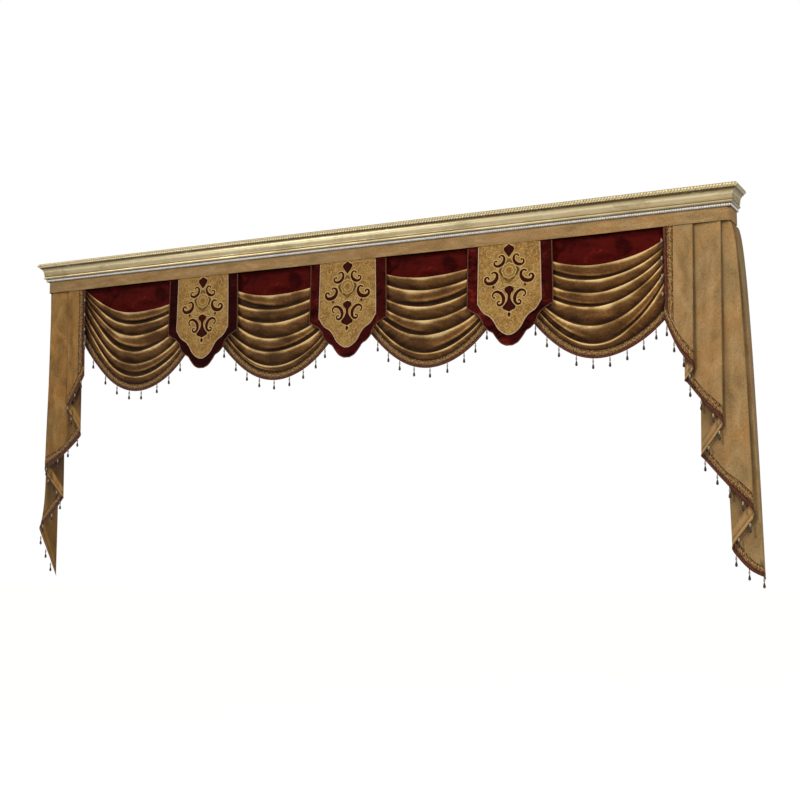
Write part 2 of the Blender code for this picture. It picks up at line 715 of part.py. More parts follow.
def build_hem_trim(name, side, stops):
    grid = [[tail_point(side, stop, stop["level"] + above) for above in (stop["height"], 0.0)]
            for stop in stops]
    runs = [stop["run"] for stop in stops]
    folds = [stop["run"] for stop in stops if stop["fold"]]
    roots = []
    run = DROP_SPACING * 0.35
    while run < runs[-1] - DROP_SPACING * 0.3:
        run = clear_of(runs, run, DROP_ROOT)
        if all(abs(run - fold) > DROP_CLEAR_OF_FOLD for fold in folds):
            roots.append(run)
            run += DROP_SPACING
        else:
            run += DROP_ROOT
    layers, starts = with_roots(thicken(grid), runs, roots, DROP_ROOT)
    drops = {start: Vector((0, -DROP_FORWARD, 0)) for start in starts}
    add_object(f"hem_trim_{name}", sheet_mesh(layers, drops), "bead_trim")


def build_edge_trim(name, side, stops):
    """The upright strip on the tail's inner edge, with drops along that edge."""
    stretch = [path_at(stops, run) for run in (run_at(stops, EDGE_TRIM_WIDTH - GAP), 0.0)]
    bottoms = [stop["level"] + stop["height"] + stop["gap"] for stop in stretch]
    grid = [[tail_point(side, stop, HEADER_TOP) for stop in stretch]]
    for share in EDGE_TRIM_SHARES:
        grid.append([tail_point(side, stop, blend(TAIL_FREE, bottom, share)) for stop, bottom in zip(stretch, bottoms)])
    depths = [-HEADER_TOP] + [-blend(TAIL_FREE, bottoms[1], share) for share in EDGE_TRIM_SHARES]
    count = int((TAIL_FREE - bottoms[1]) / DROP_SPACING)
    roots = [clear_of(depths, -TAIL_FREE + DROP_SPACING * (k + 0.55), DROP_ROOT) for k in range(count)]
    layers, starts = with_roots(thicken(grid), depths, roots, DROP_ROOT)
    sideways, forwards = EDGE_DROP_SHIFT
    drops = {start: Vector((-side * sideways, -forwards, 0)) for start in starts}
    add_object(f"edge_trim_{name}", sheet_mesh(layers, drops), "bead_trim")


# ---- The valance ---------------------------------------------------------------------------------


def main():
    for old in list(bpy.data.objects):
        bpy.data.objects.remove(old, do_unlink=True)
    build_pelmet()
    build_cornice()
    build_heading_band()
    for number, swag in enumerate(SWAGS, start=1):
        build_backing(number, swag)
        build_swag(number, swag)
    for number, step in enumerate((-1, 0, 1), start=1):
        build_shield(number, step * SHIELD_SPACING)
    build_tail("left", -1, TAILS["left"])
    build_tail("right", 1, TAILS["right"])


main()
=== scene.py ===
"""The looks of the draped window valance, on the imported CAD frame.

Metres, +Z up, in the frame of part.py: the wall is the plane Y = 0 and the room lies towards -Y. Most
sizes are given as "out", the distance from the wall, and "level", the height above the heading band's
lower edge. The tables of swags, shields and tails are those of part.py.
"""

import math
import random
from collections import namedtuple

import bmesh
import bpy
import numpy as np
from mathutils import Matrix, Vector


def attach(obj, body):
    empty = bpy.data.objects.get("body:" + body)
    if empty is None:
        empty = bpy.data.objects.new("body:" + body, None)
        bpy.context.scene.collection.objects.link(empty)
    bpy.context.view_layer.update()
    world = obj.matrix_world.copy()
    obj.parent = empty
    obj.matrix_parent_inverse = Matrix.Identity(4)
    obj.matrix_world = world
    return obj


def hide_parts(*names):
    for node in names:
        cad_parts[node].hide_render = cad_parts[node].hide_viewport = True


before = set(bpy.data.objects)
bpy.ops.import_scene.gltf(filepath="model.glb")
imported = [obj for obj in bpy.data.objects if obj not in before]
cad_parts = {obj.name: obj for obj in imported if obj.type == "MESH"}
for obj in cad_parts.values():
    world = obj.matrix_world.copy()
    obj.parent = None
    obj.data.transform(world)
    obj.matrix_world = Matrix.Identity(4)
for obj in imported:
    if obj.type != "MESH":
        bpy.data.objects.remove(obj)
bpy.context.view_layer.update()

# ---- Sizes shared with the CAD ------------------------------------------------------------------

HALF_LENGTH = 1.765
BAND_LEVEL = -0.135
GAP = 0.0004
SHEET = 0.002
SHIELD_SPACING = 0.80
PELMET_OUT = 0.100
PELMET_BOTTOM = 0.020
BACKING_OUT = PELMET_OUT + GAP + SHEET / 2
SWAG_END_OUT = BACKING_OUT + SHEET + GAP
SHIELD_OUT = 0.1200
MEDALLION_OUT = SHIELD_OUT + SHEET + GAP
BAND_OUT = MEDALLION_OUT + SHEET + GAP
BAND_FRONT = BAND_OUT + SHEET / 2
BAND_TOP = 0.070
BAND_DROOP = 0.0012
BAND_CORNER = 0.022
HEADER_TOP = 0.064
CORNICE_LEVEL = 0.056
MITRE_GAP = 0.0002
ROPE = {"proud": 0.0289, "rise": 0.0818, "radius": 0.0106, "back": 0.0274}
PEARL = {"back": 0.0049, "low": 0.0010, "high": 0.0124}

# Swags: for each fold crest, then the lower edge of the trim, its level at the left end, the lowest
# place and the right end. "drops" are the shares of the width at which the bead drops hang. "creases"
# are small folds within a fold: (fold, share from, share to, fall from, fall to, height).
SWAGS = (
    {"left": -1.530, "right": -0.880, "low_at": 0.535, "rows": (
        (-0.004, -0.150, -0.060),
        (-0.026, -0.212, -0.088),
        (-0.050, -0.270, -0.118),
        (-0.076, -0.350, -0.150),
        (-0.130, -0.411, -0.210),
        (-0.166, -0.472, -0.264),
        (-0.290, -0.541, -0.338)),
     "drops": (0.087, 0.215, 0.338, 0.458, 0.571, 0.709, 0.809, 0.907),
     "creases": ((0, 0.30, 0.95, 0.60, 0.40, 0.0040), (2, 0.10, 0.75, 0.45, 0.62, 0.0050),
                 (4, 0.35, 0.92, 0.55, 0.40, 0.0045))},
    {"left": -0.720, "right": -0.080, "low_at": 0.525, "rows": (
        (-0.030, -0.132, -0.060),
        (-0.088, -0.203, -0.090),
        (-0.130, -0.267, -0.132),
        (-0.158, -0.341, -0.192),
        (-0.222, -0.404, -0.242),
        (-0.240, -0.469, -0.272),
        (-0.318, -0.532, -0.343)),
     "drops": (0.055, 0.163, 0.269, 0.384, 0.513, 0.641, 0.751, 0.850, 0.925),
     "creases": ((0, 0.08, 0.60, 0.35, 0.60, 0.0045), (3, 0.40, 0.95, 0.62, 0.42, 0.0050),
                 (5, 0.10, 0.55, 0.40, 0.55, 0.0035))},
    {"left": 0.080, "right": 0.720, "low_at": 0.515, "rows": (
        (-0.028, -0.118, -0.048),
        (-0.060, -0.179, -0.076),
        (-0.120, -0.253, -0.112),
        (-0.146, -0.315, -0.164),
        (-0.192, -0.382, -0.218),
        (-0.228, -0.460, -0.256),
        (-0.306, -0.523, -0.327)),
     "drops": (0.105, 0.193, 0.287, 0.404, 0.527, 0.657, 0.778, 0.860, 0.945),
     "creases": ((1, 0.30, 0.92, 0.62, 0.38, 0.0050), (3, 0.06, 0.50, 0.40, 0.62, 0.0045),
                 (4, 0.55, 0.94, 0.60, 0.45, 0.0050))},
    {"left": 0.880, "right": 1.526, "low_at": 0.485, "rows": (
        (-0.034, -0.138, -0.022),
        (-0.084, -0.202, -0.046),
        (-0.136, -0.258, -0.072),
        (-0.182, -0.318, -0.096),
        (-0.214, -0.399, -0.122),
        (-0.244, -0.474, -0.156),
        (-0.329, -0.531, -0.338)),
     "drops": (0.049, 0.129, 0.215, 0.339, 0.455, 0.569, 0.683, 0.790, 0.871, 0.950),
     "creases": ((0, 0.04, 0.70, 0.50, 0.66, 0.0050), (2, 0.10, 0.62, 0.55, 0.66, 0.0050),
                 (4, 0.05, 0.42, 0.30, 0.58, 0.0055), (4, 0.60, 0.94, 0.64, 0.50, 0.0045))},
)
FOLD_DEPTH_END, FOLD_DEPTH_MIDDLE = 0.005, 0.027
SWAG_BULGE = 0.015
SWAG_EASE = (0.10, 0.34)  # where the folds start to open, and over which share of the width
FOLD_STEEPEST = 0.42  # a fold's greatest depth, as a share of its height
SWAG_TRIM_WIDTH = 0.034
LAST_REACH = 0.22  # how far the cloth stands off the hollows at its end, as a share of the depth
# One fold from its crest to the next: the share of the way down and the share of its depth.
FOLD = ((0.0, 1.0), (0.05, 0.95), (0.13, 0.77), (0.30, 0.50), (0.52, 0.22), (0.70, 0.03), (0.78, 0.0),
        (0.85, 0.14), (0.93, 0.66), (1.0, 1.0))
LAST_FOLD = ((0.0, 1.0), (0.05, 0.95), (0.13, 0.77), (0.32, 0.46), (0.60, 0.18), (0.80, 0.14),
             (1.0, LAST_REACH))
# The painted light and shade on the way down a fold: a painted highlight on the crest, painted shade in the
# pocket above the next.
FOLD_SHADING = ((0.0, 1.0), (0.07, 0.98), (0.12, 0.74), (0.20, 0.55), (0.45, 0.44), (0.66, 0.24), (0.80, 0.05),
             (0.90, 0.0), (0.95, 0.22), (0.98, 0.85), (1.0, 1.0))
LAST_FOLD_SHADING = ((0.0, 1.0), (0.07, 0.98), (0.12, 0.74), (0.22, 0.55), (0.50, 0.44), (0.78, 0.20),
                  (0.95, 0.0), (1.0, 0.0))

BACKING_OVERLAP = 0.050
BACKING_BOTTOM = -0.215

SHIELD_EDGE = ((0.193, HEADER_TOP), (0.194, 0.0), (0.198, -0.255), (0.189, -0.277), (0.150, -0.302),
               (0.129, -0.328), (0.120, -0.352), (0.098, -0.375), (0.076, -0.388), (0.060, -0.410),
               (0.038, -0.435), (0.014, -0.447))
MEDALLION_EDGE = ((0.141, HEADER_TOP), (0.141, 0.0), (0.146, -0.235), (0.142, -0.262), (0.121, -0.295),
                  (0.090, -0.316), (0.070, -0.338), (0.051, -0.370), (0.028, -0.391), (0.009, -0.401))
SHIELD_LEAN = 0.010
PIPING_RADIUS = 0.0024

# Tails: each row is a fold or an edge with its distance from the middle of the valance and from the
# wall, at the top and at the hem, and the level of the hem; then how far the hem before it hangs below
# a straight line (sag), how far it falls round the fold (turn) and how early the cloth spreads (flare).
Pleat = namedtuple("Pleat", "kind x_top x_hem out_top out_hem level sag turn flare")
TAILS = {
    "left": (
        ("edge", 1.523, 1.512, 0.1205, 0.1260, -0.442, 0.0, 0.0, 1.0),
        ("outer", 1.630, 1.617, 0.1215, 0.1330, -0.611, 0.012, 0.016, 1.0),
        ("inner", 1.545, 1.541, 0.1085, 0.1040, -0.730, 0.0, 0.040, 1.0),
        ("outer", 1.737, 1.745, 0.1200, 0.1330, -0.923, 0.012, 0.026, 1.0),
        ("inner", 1.650, 1.648, 0.1060, 0.0985, -1.054, 0.0, 0.010, 1.0),
        ("corner", 1.7612, 1.781, 0.1012, 0.1180, -1.212, 0.010, 0.0, 14.0),
        ("wall", 1.7612, 1.761, 0.0030, 0.0060, -1.450, 0.0, 0.0, 0.42)),
    "right": (
        ("edge", 1.484, 1.486, 0.1205, 0.1260, -0.393, 0.0, 0.0, 1.0),
        ("outer", 1.608, 1.599, 0.1215, 0.1330, -0.594, 0.026, 0.024, 1.0),
        ("inner", 1.562, 1.560, 0.1085, 0.1040, -0.644, 0.0, 0.012, 1.0),
        ("outer", 1.723, 1.714, 0.1200, 0.1330, -0.828, 0.006, 0.026, 1.0),
        ("inner", 1.634, 1.619, 0.1065, 0.1000, -0.954, 0.0, 0.018, 1.0),
        ("outer", 1.757, 1.826, 0.1130, 0.1300, -1.190, 0.006, 0.040, 0.42),
        ("inner", 1.700, 1.733, 0.1018, 0.0950, -1.326, 0.0, 0.036, 1.0),
        ("corner", 1.7612, 1.856, 0.1012, 0.1100, -1.436, 0.016, 0.0, 0.50),
        ("wall", 1.7612, 1.839, 0.0030, 0.0060, -1.448, 0.0, 0.0, 0.42)),
}
FOLD_RADIUS_TOP, FOLD_RADIUS_HEM = 0.0016, 0.0055
TAIL_FREE = -0.004  # the level from which a tail hangs free of the band
TAIL_WAVE = 0.0020
EDGE_TRIM_WIDTH = 0.038
EDGE_DROP_SHIFT = (0.004, 0.009)  # off the cloth's edge, sideways and forwards
HEM_TRIM_WIDTH = 0.036
HEM_TRIM_STEEPEST = 1.9  # how much taller than its width the trim may get on a steep hem
HEM_GAP = 0.0008
CAD_FOLD_STEPS, CAD_PANEL_STEPS = 2, {"outer": 4, "inner": 3, "corner": 3, "wall": 3}
DROP_SPACING = 0.075
DROP_ROOT = 0.004
DROP_FORWARD = 0.0075
DROP_CLEAR_OF_FOLD = 0.013

# ---- Sizes of the looks -------------------------------------------------------------------------

# The moulding's leaf from its lower edge up: glaze with painted shade in the grooves, and painted highlights
# along the cove and where it stands proud.
GLAZE_AND_SHADE, DULL = (0.100, 0.060, 0.018), (0.250, 0.175, 0.072)
LEAF, LEAF_HIGHLIGHT = (0.420, 0.320, 0.155), (0.720, 0.610, 0.380)
LEAF_AND_LIGHT_BANDS = ((0.0, (0.30, 0.235, 0.125)), (0.011, (0.34, 0.27, 0.16)), (0.015, (0.29, 0.23, 0.13)),
              (0.018, (0.38, 0.30, 0.16)), (0.0235, (0.46, 0.37, 0.205)), (0.028, (0.33, 0.25, 0.12)),
              (0.032, LEAF), (0.038, (0.56, 0.45, 0.255)), (0.044, (0.48, 0.375, 0.195)), (0.052, LEAF_HIGHLIGHT),
              (0.059, LEAF), (0.063, DULL), (0.067, GLAZE_AND_SHADE), (0.073, GLAZE_AND_SHADE), (0.079, LEAF), (0.095, LEAF))

SWAG_COLUMNS, FOLD_ROWS = 97, 15
CREASE_WIDTH = 0.085  # of a swag's small creases, as a share of the fold's fall
SWAG_WAVE, SWAG_PUCKER = 0.0016, 0.0006  # the cloth's unevenness in the open and at its gathered ends
PUCKER_REACH, END_SHADE_REACH = 0.07, 0.12  # from each end, as shares of the swag's width
# END_SHADE: how much of the tone is left at the gathered ends, as painted shade.
END_SHADE = 0.62
BACKING_COLUMNS, BACKING_ROWS = 61, 37
BACKING_BULGE = 0.0035
# The backings' crush as waves: height, turn across the width, turn per metre down, shift per swag.
BACKING_CRUSH = ((0.0022, 9, 24, 1), (0.0016, 31, -40, 0), (0.0012, 17, 75, 2))
PLATE_COLUMNS = 25
SHIELD_RIPPLE = 0.0007
SHIELD_ROUNDING = 0.0006  # how far a shield's edge turns back
SHIELD_SHADE = ((0.02, 0.04), (0.29, 0.20), (0.41, 0.12))  # each shield's painted shade as tone, at its left and right edge
# The medallions' painted shade as tone, which their brocade doesn't read.
MEDALLION_SHADE = (0.5, 0.14)
PIPING_SIDES, PIPING_PITCH = 8, 0.009
STITCH_ROOT = 0.0003  # how deep the embroidery sinks into its ground
BAND_END = 0.003  # the band's ends, from the wall
BAND_COLUMNS, BAND_ROWS = 161, 11
ROPE_SIDES, ROPE_PITCH = 13, 0.026
ROPE_GROOVE = 0.20  # the grooves' depth, as a share of the rope's radius
PEARL_ROOM, PEARL_SPACING = 0.86, 2.06  # a pearl's share of the strip's height, and its spacing in radii
TAIL_PANEL_STEPS, TAIL_FOLD_STEPS, TAIL_ROWS, HEM_STEPS = 14, 6, 56, 360
UNDER_TRIM = 0.0008  # how far the cloth reaches under its trim
BEHIND_TAIL = 0.013  # how far the first swag and its backing reach behind the left tail

# The strips of each trim, first its braid and then its padded edge: metres above the lower edge for
# a swag's trim, and shares of the height or the width for a tail's.
SWAG_TRIM = ((0.0105, 0.034), (0.0, 0.0105))
HEM_TRIM = ((0.31, 1.0), (0.0, 0.31))
EDGE_TRIM = ((0.35, 1.0), (0.0, 0.35))
BRAID_PITCH, BRAID_ROWS = 0.0085, 9
BRAID_GROUND, BRAID_RELIEF = 0.0006, 0.0011
STRAND_SWING, STRAND_WIDTH = 0.36, 0.20  # of the braid's three strands, as shares of its width
EDGE_ROWS, EDGE_SWELL = 7, 0.0018
HEM_CORD, HEM_CORD_TWIST = 0.0016, 1.9  # radius, and its twist from one step to the next
# One bead drop: for each bead its material slot and (down, radius) from the trim's edge.
DROP = (
    (0, ((0.0004, 0.0006), (0.0014, 0.0019), (0.0028, 0.0024), (0.0042, 0.0019), (0.0052, 0.0006))),
    (1, ((0.0052, 0.0008), (0.0066, 0.0028), (0.0100, 0.0035), (0.0160, 0.0036), (0.0196, 0.0028),
         (0.0212, 0.0008))),
    (0, ((0.0212, 0.0008), (0.0232, 0.0022), (0.0284, 0.0035), (0.0345, 0.0051), (0.0396, 0.0055),
         (0.0432, 0.0041), (0.0450, 0.0012))),
)
BEAD_SIDES = 10
DROP_LIFT = 0.001

# ---- Materials ----------------------------------------------------------------------------------

YARN_SHEEN = (1.0, 0.70, 0.40, 1.0)


class Nodes:
    """One procedural material, with short ways to add its nodes."""

    def __init__(self, name, gloss, sheen=(), **settings):
        """gloss is the specular level, and sheen the sheen's weight, roughness and colour."""
        self.material = bpy.data.materials.new(name)
        self.material.use_nodes = True
        self.tree = self.material.node_tree
        self.shader = self.tree.nodes["Principled BSDF"]
        settings.update(zip(("Sheen_Weight", "Sheen_Roughness", "Sheen_Tint"), sheen))
        for key, value in {"Specular_IOR_Level": gloss, **settings}.items():
            self.shader.inputs[key.replace("_", " ")].default_value = value

    def feed(self, node, values):
        """Links or sets each input that has a value."""
        for key, value in values:
            if isinstance(value, bpy.types.NodeSocket):
                self.tree.links.new(value, node.inputs[key])
            elif value is not None:
                node.inputs[key].default_value = value
        return node

    def add(self, kind, *values, **settings):
        node = self.tree.nodes.new("ShaderNode" + kind)
        for key, value in settings.items():
            setattr(node, key, value)
        return self.feed(node, enumerate(values))

    def tone(self):
        return self.add("Attribute", attribute_name="tone").outputs["Fac"]

    def cloth(self):
        """Metres along the cloth and down it."""
        return self.add("UVMap", uv_map="cloth").outputs[0]

    def place(self):
        return self.add("TexCoord").outputs["Object"]

    def stretch(self, vector, scale):
        return self.add("VectorMath", vector, scale, operation="MULTIPLY").outputs[0]

    def noise(self, vector, scale, detail=3.0, roughness=0.55, distortion=0.0):
        node = self.add("TexNoise", vector)
        return self.feed(node, (("Scale", scale), ("Detail", detail), ("Roughness", roughness),
                                ("Distortion", distortion))).outputs[0]

    def wave(self, vector, period, direction, distortion):
        node = self.add("TexWave", vector, bands_direction=direction)
        return self.feed(node, (("Scale", math.pi / 10 / period), ("Distortion", distortion))).outputs["Fac"]

    def math(self, operation, *values):
        return self.add("Math", *values, operation=operation).outputs[0]

    def spread(self, value, low, high, start=0.0, end=1.0):
        """The value's stretch from low to high as start to end."""
        return self.add("MapRange", value, low, high, start, end).outputs[0]

    def wobbled(self, value, noise, reach, low=0.30, high=0.70):
        """The value with the noise's stretch from low to high added, as far as reach either way."""
        return self.math("ADD", value, self.spread(noise, low, high, -reach, reach))

    def ramp(self, value, *stops):
        """A colour ramp from (position, colour) stops."""
        node = self.add("ValToRGB", value)
        elements = node.color_ramp.elements
        while len(elements) < len(stops):
            elements.new(0.5)
        for element, (position, colour) in zip(elements, stops):
            element.position = position
            element.color = (*colour, 1.0)
        return node.outputs[0]

    def tint(self, colour, *layers):
        """Lays colours over one: each as (value, low, high, share, colour), none at low and share at high."""
        for value, low, high, share, other in layers:
            node = self.add("Mix", self.spread(value, low, high, 0.0, share), data_type="RGBA")
            colour = self.feed(node, ((6, colour), (7, (*other, 1.0)))).outputs[2]
        return colour

    def finish(self, colour, texture, rough, *bumps, span=(0.3, 0.7)):
        """Ends with the colour, the roughness at both ends of the texture's span, and bumps.

        The bumps lie on top of each other, each as (height, distance, strength).
        """
        normal = None
        for height, distance, strength in bumps:
            normal = self.feed(self.add("Bump"), (("Height", height), ("Distance", distance),
                                                  ("Strength", strength), ("Normal", normal))).outputs[0]
        self.feed(self.shader, (("Base Color", colour), ("Normal", normal),
                                ("Roughness", self.spread(texture, *span, *rough))))
        return self.material


def dim(colour, share):
    return tuple(share * part for part in colour)


def chenille(name, olive, body, rust, light, mottle, clouds_scale=5.0, grain=(1.0, 0.55, 1.0)):
    """Brushed chenille: broad clouds of olive gold and rust over short rows of speckled pile."""
    n = Nodes(name, 0.12, (0.15, 0.45, (1.0, 0.80, 0.52, 1.0)))
    cloth, fold = n.cloth(), n.tone()
    clouds = n.noise(cloth, clouds_scale, 4.0, 0.60, 0.7)
    patches = n.noise(n.stretch(cloth, grain), clouds_scale * 3.1, 4.0, 0.62, 0.5)
    speckle = n.noise(n.stretch(cloth, (1.0, 0.6, 1.0)), 170.0, 3.0, 0.7)
    fleck = n.noise(cloth, 420.0, 2.0, 0.6)
    # The mesh's tone paints light above 0.5 and shade below it, towards a dark rust.
    colour = n.tint(
        n.ramp(n.spread(clouds, 0.36, 0.64), (0.0, olive), (0.45, body), (1.0, rust)),
        (patches, 0.51, 0.68, mottle, light), (patches, 0.48, 0.32, mottle, dim(body, 0.52)),
        (speckle, 0.54, 0.72, 0.50, light), (speckle, 0.47, 0.32, 0.60, dim(body, 0.42)),
        (fleck, 0.55, 0.75, 0.30, dim(rust, 0.35)),
        (fold, 0.5, 1.0, 0.8, light), (fold, 0.5, 0.0, 0.95, dim(rust, 0.20)))
    return n.finish(colour, patches, (0.95, 0.78), (patches, 0.0018, 0.5), (speckle, 0.0010, 0.6),
                    (fleck, 0.0005, 0.6))


def swag_chenille(name):
    """The same chenille in folds: a painted highlight on each crest, painted shade near black in the pocket
    above the next.
    """
    n = Nodes(name, 0.07, (0.09, 0.45, (1.0, 0.68, 0.36, 1.0)))
    cloth = n.cloth()
    patches = n.noise(n.stretch(cloth, (0.6, 1.6, 1.0)), 16.0, 4.0, 0.62, 0.6)
    speckle = n.noise(n.stretch(cloth, (0.5, 1.2, 1.0)), 150.0, 3.0, 0.7)
    fold = n.wobbled(n.wobbled(n.tone(), patches, 0.13), speckle, 0.10, 0.28, 0.72)
    colour = n.ramp(fold, (0.0, (0.014, 0.0055, 0.002)), (0.18, (0.042, 0.017, 0.0055)),
                    (0.38, (0.112, 0.047, 0.013)), (0.56, (0.24, 0.108, 0.031)), (0.74, (0.43, 0.24, 0.078)),
                    (0.90, (0.71, 0.465, 0.185)), (1.0, (0.82, 0.58, 0.275)))
    return n.finish(colour, patches, (0.95, 0.75), (patches, 0.0020, 0.5), (speckle, 0.0009, 0.6),
                    (n.noise(cloth, 900.0, 2.0), 0.0004, 0.5))


def crushed_velvet(name, deep, body, light, patch):
    """Velvet whose pile lies in patches, dark one way and bright the other."""
    n = Nodes(name, 0.03, (0.08, 0.35, (0.50, 0.02, 0.03, 1.0)))
    cloth = n.cloth()
    patches = n.noise(n.stretch(cloth, (0.8, 1.4, 1.0)), patch, 3.0, 0.55, 0.9)
    crush = n.noise(n.stretch(cloth, (1.0, 1.5, 1.0)), 34.0, 4.0, 0.60, 0.6)
    lie = n.math("ADD", n.math("MULTIPLY", patches, 0.72), n.math("MULTIPLY", crush, 0.28))
    colour = n.ramp(n.spread(lie, 0.38, 0.64), (0.0, deep), (0.45, body), (0.72, body), (1.0, light))
    # The mesh's tone below 0.5 paints shade, darker towards deep.
    colour = n.tint(colour, (n.tone(), 0.5, 0.0, 0.90, deep))
    return n.finish(colour, lie, (0.95, 0.75), (lie, 0.0040, 0.7), (n.noise(cloth, 1500.0, 2.0), 0.0003, 0.5))


def brocade(name):
    """The medallions' ground: a satin weave with small tufts of other threads in it."""
    n = Nodes(name, 0.12, (0.08, 0.4, (1.0, 0.70, 0.35, 1.0)))
    cloth = n.cloth()
    clouds = n.noise(cloth, 20.0, 4.0, 0.6, 0.8)
    tufts = n.noise(cloth, 130.0, 3.0, 0.7, 0.5)
    worms = n.noise(cloth, 62.0, 2.0, 0.5, 2.2)
    weave = n.math("MULTIPLY", n.wave(cloth, 0.0011, "X", 0.6), n.wave(cloth, 0.0014, "Y", 0.6))
    colour = n.tint(
        n.ramp(n.spread(clouds, 0.34, 0.66), (0.0, (0.235, 0.112, 0.024)), (0.5, (0.320, 0.168, 0.038)),
               (1.0, (0.400, 0.232, 0.063))),
        (worms, 0.54, 0.60, 0.65, (0.50, 0.33, 0.105)), (worms, 0.42, 0.36, 0.60, (0.150, 0.055, 0.014)),
        (tufts, 0.56, 0.66, 0.60, (0.52, 0.33, 0.105)), (tufts, 0.43, 0.33, 0.75, (0.120, 0.036, 0.012)))
    return n.finish(colour, clouds, (0.78, 0.6), (weave, 0.0004, 0.7), (tufts, 0.0009, 0.6))


def stitched(name, low, high):
    """Satin stitch: close threads across the shape, with a painted highlight on its crown."""
    n = Nodes(name, 0.04, (0.02, 0.3, YARN_SHEEN))
    cloth = n.cloth()
    threads = n.wave(cloth, 0.0009, "X", 0.8)
    crown = n.wobbled(n.tone(), n.noise(cloth, 140.0), 0.30)
    colour = n.ramp(crown, (0.0, low), (1.0, high))
    return n.finish(colour, threads, (0.6, 0.8), (threads, 0.0004, 0.7), span=(0.0, 1.0))


def corded(name, low, middle, high, grain=210.0, mixed=0.45):
    """Twisted or braided yarn of several threads: the relief is in the mesh, and the tone paints shade in its
    hollows and light on its crowns.
    """
    n = Nodes(name, 0.12, (0.05, 0.4, YARN_SHEEN))
    cloth = n.cloth()
    yarn = n.noise(n.stretch(cloth, (1.0, 0.5, 1.0)), 800.0, 3.0, 0.65)
    height = n.wobbled(n.tone(), n.noise(cloth, grain, 3.0, 0.7), mixed)
    colour = n.ramp(height, (0.10, low), (0.50, middle), (0.95, high))
    return n.finish(colour, yarn, (0.85, 0.6), (yarn, 0.0005, 0.6))


def leaf(name, bands, metallic, rough):
    """Metal leaf on gesso: painted highlights where it stands proud, dull with glaze and painted shade in the
    grooves.

    bands gives the colour, painted light and shade included, at each height above the moulding's lower edge.
    """
    n = Nodes(name, 0.5, Metallic=metallic)
    where = n.place()
    level = n.math("SUBTRACT", n.add("SeparateXYZ", where).outputs[2], BAND_LEVEL + CORNICE_LEVEL)
    grain = n.noise(n.stretch(where, (0.5, 1.0, 1.0)), 90.0, 5.0, 0.65)
    patches = n.noise(n.stretch(where, (0.6, 1.0, 1.0)), 9.0, 4.0, 0.6)
    wear = n.math("ADD", n.math("MULTIPLY", grain, 0.35), n.math("MULTIPLY", patches, 0.65))
    level = n.wobbled(level, patches, 0.0012, 0.35, 0.65)
    top = bands[-1][0]
    colour = n.ramp(n.spread(level, 0.0, top), *((height / top, tint) for height, tint in bands))
    colour = n.tint(colour, (wear, 0.50, 0.36, 0.55, (0.19, 0.135, 0.055)),
                    (wear, 0.54, 0.68, 0.45, (0.70, 0.62, 0.42)))
    return n.finish(colour, wear, (rough + 0.12, rough - 0.04), (wear, 0.0005, 0.25))


def beaten(name, groove, body, bright, metallic, rough):
    """Leaf on a carved bead, whose hollows are in the mesh's tone."""
    n = Nodes(name, 0.4, Metallic=metallic)
    grain = n.noise(n.place(), 110.0, 5.0, 0.65)
    colour = n.ramp(n.wobbled(n.tone(), grain, 0.35), (0.0, groove), (0.45, body), (1.0, bright))
    return n.finish(colour, grain, (rough + 0.12, rough - 0.08), (grain, 0.0005, 0.4))


def pine(name):
    n = Nodes(name, 0.3)
    where = n.place()
    rings = n.noise(n.stretch(where, (0.9, 14.0, 14.0)), 5.0, 4.0, 0.6, 1.6)
    fibre = n.noise(n.stretch(where, (3.0, 90.0, 90.0)), 8.0, 3.0, 0.6)
    colour = n.ramp(n.spread(rings, 0.35, 0.65), (0.0, (0.40, 0.25, 0.12)), (0.55, (0.56, 0.39, 0.21)),
                    (1.0, (0.66, 0.50, 0.30)))
    return n.finish(colour, fibre, (0.6, 0.8), (fibre, 0.0004, 0.6))


def glassy(name, low, high, rough, gloss):
    """Moulded beads: slightly uneven colour and gloss."""
    n = Nodes(name, gloss, Coat_Weight=0.3 * gloss, Coat_Roughness=0.2)
    drift = n.noise(n.place(), 420.0, 3.0, 0.6)
    colour = n.ramp(n.spread(drift, 0.3, 0.7), (0.0, low), (1.0, high))
    return n.finish(colour, drift, (rough, rough + 0.15), (drift, 0.0003, 0.4))


def plain_floor(name):
    n = Nodes(name, 0.1, Roughness=0.9, Emission_Color=(1.0, 1.0, 1.0, 1.0), Emission_Strength=0.46)
    colour = n.ramp(n.noise(n.place(), 0.6, 2.0), (0.0, (0.93, 0.93, 0.93)), (1.0, (0.96, 0.96, 0.96)))
    n.feed(n.shader, (("Base Color", colour),))
    return n.material


